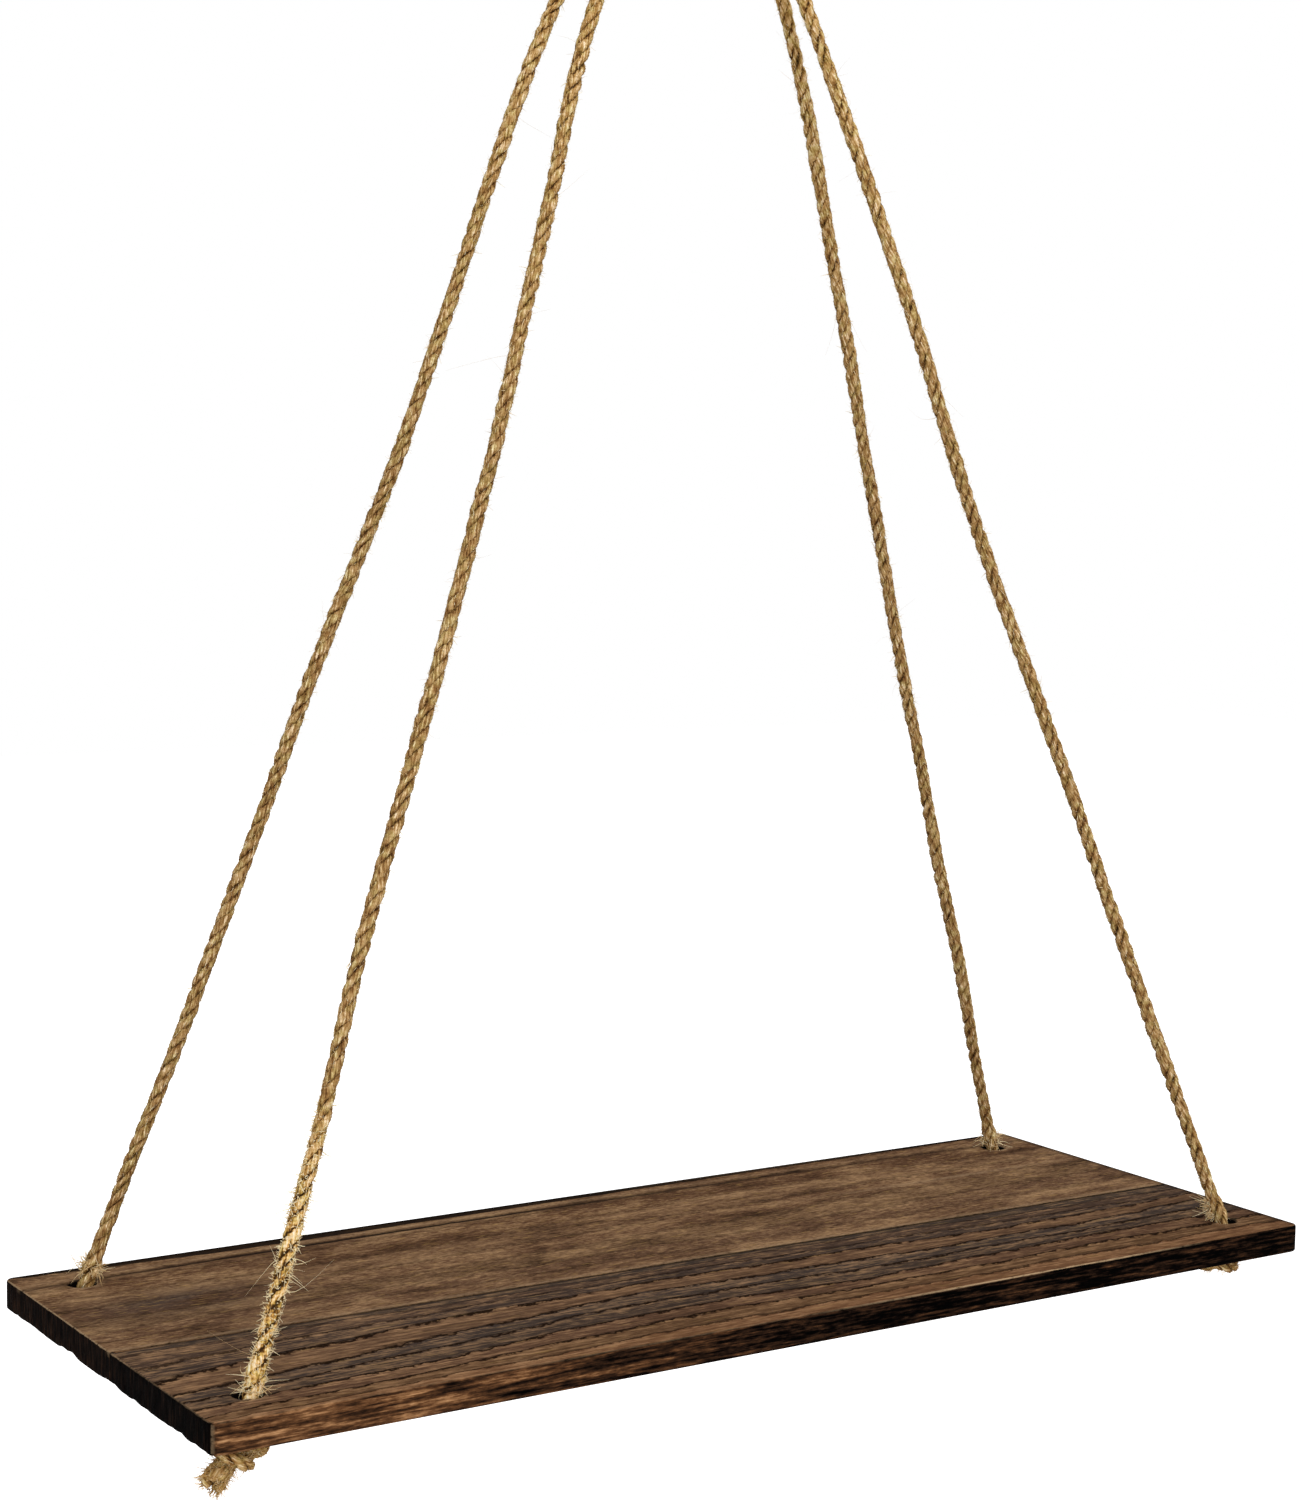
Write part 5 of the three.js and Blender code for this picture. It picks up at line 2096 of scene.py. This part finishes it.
def tube_faces(rings: int, sides: int) -> np.ndarray:
    """Number the faces of an open tube.

    Args:
        rings: its rings.
        sides: the points in a ring.

    Returns:
        The corners of each face, one face per row.
    """
    i, j = np.meshgrid(np.arange(rings - 1), np.arange(sides), indexing="ij")
    k = (j + 1) % sides
    quad = np.stack((i * sides + j, i * sides + k, (i + 1) * sides + k, (i + 1) * sides + j), -1)
    return quad.reshape(-1, 4)


def mark_points(mesh: bpy.types.Mesh, name: str, values: np.ndarray) -> None:
    """Keep a number on each point of a mesh for its finish.

    Args:
        mesh: the mesh.
        name: the attribute's name.
        values: the number for each point.
    """
    layer = mesh.attributes.new(name, "FLOAT", "POINT")
    layer.data.foreach_set("value", values.astype(np.float32))


def close_ends(mesh: bpy.types.Mesh) -> None:
    """Close the open ends of a mesh's tubes.

    Args:
        mesh: the mesh.
    """
    bm = bmesh.new()
    bm.from_mesh(mesh)
    rims = [e for e in bm.edges if e.is_boundary]
    bmesh.ops.holes_fill(bm, edges=rims, sides=0)
    bm.to_mesh(mesh)
    bm.free()


@dataclass(frozen=True)
class Studio:
    """A plain pale floor under soft lamps, white to the camera and in reflections."""

    floor_drop: float = 0.42
    floor_reach: float = 6.0
    floor_colour: str = "#E9E9E9"
    sky: float = 0.38
    lamps: tuple[tuple[tuple[float, float, float], float, float], ...] = (
        ((-0.82, -1.62, 0.55), 1.0, 22.5),
        ((0.35, -0.3, 1.7), 1.6, 17.0),
    )

    def build(self, sizes: ShelfSizes) -> None:
        """Lay the floor and hang the lamps.

        Args:
            sizes: the shelf's sizes, which give the board's height.
        """
        height = sizes.board_top * MM
        bm = bmesh.new()
        bmesh.ops.create_grid(bm, x_segments=4, y_segments=4, size=self.floor_reach)
        bmesh.ops.translate(bm, verts=bm.verts, vec=(0, 0, height - self.floor_drop))
        floor = to_object(bm, "studio_floor")
        floor.data.materials.append(self.floor_finish())
        target = Vector((0, 0, height + 0.15))
        for number, (place, size, power) in enumerate(self.lamps):
            data = bpy.data.lights.new(f"soft_lamp_{number}", "AREA")
            data.shape = "SQUARE"
            data.size = size
            data.energy = power
            lamp = placed(data.name, data)
            lamp.location = target + Vector(place)
            lamp.rotation_euler = (target - lamp.location).to_track_quat("-Z", "Y").to_euler()
        self.light_room()
        bpy.context.scene.view_settings.view_transform = "Standard"

    def floor_finish(self) -> bpy.types.Material:
        """Make the floor's matt pale paint, lifted to white where the camera sees it unshaded.

        Returns:
            The material.
        """
        material, add = new_material("pale_floor_paint")
        seen = self.background_share(add)
        paint = add("BsdfDiffuse", {"Color": self.floor_colour})
        glow = add("Emission", {"Color": "#FFFFFF", "Strength": seen})
        both = add("AddShader", {0: paint, 1: glow})
        add("OutputMaterial", {"Surface": both})
        return material

    def background_share(self, add: Adder) -> Socket:
        """Add the share by which the background counts as seen: by camera, mirror or glass.

        Args:
            add: adds a node.

        Returns:
            The share.
        """
        path = add("LightPath").node.outputs
        seen = add("Math", {0: path["Is Camera Ray"], 1: path["Is Glossy Ray"]}, operation="MAXIMUM")
        return add("Math", {0: seen, 1: path["Is Transmission Ray"]}, operation="MAXIMUM")

    def light_room(self) -> None:
        """Give the room a plain even light that the camera sees as white."""
        world = bpy.data.worlds.new("studio_room")
        world.use_nodes = True
        world.node_tree.nodes.clear()
        add = partial(add_node, world.node_tree)
        seen = self.background_share(add)
        strength = add("MapRange", {0: seen, 3: self.sky, 4: 1.0})
        room = add("Background", {"Color": "#FFFFFF", "Strength": strength})
        add("OutputWorld", {"Surface": room})
        bpy.context.scene.world = world


FRONT_WOOD = TorchedWood(
    name="torched_pine_dark",
    bands=(
        "#41362F", "#4B3A30", "#43362F", "#604735", "#423731", "#43362E", "#5A4131", "#5E442F", "#6E4D35",
    ),
    dark="#0F0A07", light="#B48C66",
    jagged=0.75, streaks=1.1, flecks=0.6, clouds=0.4, scratches=0.3, ridge_highlights=0.06, paler_left=0.06,
    fleck_mm=(4.0, 1.5), fibre_mm=(12, 0.8),
)
REAR_WOOD = TorchedWood(
    name="torched_pine_light",
    bands=("#5C4330", "#6C4F39", "#624632", "#6D513B", "#664A36", "#6E533C", "#654A37", "#6B4F3A"),
    dark="#1C1007", light="#A98762",
    jagged=0.9, streaks=1.1, flecks=1.1, clouds=1.5, scratches=0.7, ridge_highlights=0.1, paler_left=0.0,
    fleck_mm=(2.0, 1.0), fibre_mm=(6, 0.6),
)


def main() -> None:
    """Build the shelf, light it and report what was made."""
    logging.basicConfig(level=logging.INFO, format="%(message)s")
    for left_over in list(bpy.data.objects):
        bpy.data.objects.remove(left_over)
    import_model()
    sizes = ShelfSizes()
    add_camera(sizes, ViewSizes())
    jute, fibre = TwistedJute().make(), LooseFibre().make()
    for side in Side:
        maker = RopeMaker(Rope(sizes, side), sizes, jute)
        maker.build()
        FibreMaker(maker, fibre).build()
    front = Stave(sizes, "front_stave_torched", End.FRONT, FRONT_GRAIN, 0.34, FRONT_WOOD, "dark_stave")
    rear = Stave(
        sizes, "rear_stave_torched", End.REAR, REAR_GRAIN, 0.15, REAR_WOOD, "light_stave",
        hole_wear=0.7, grooved=True,
    )
    for sub_assembly in (front, rear, CeilingHook(sizes)):
        sub_assembly.build()
    Studio().build(sizes)


if __name__ == "__main__":
    main()
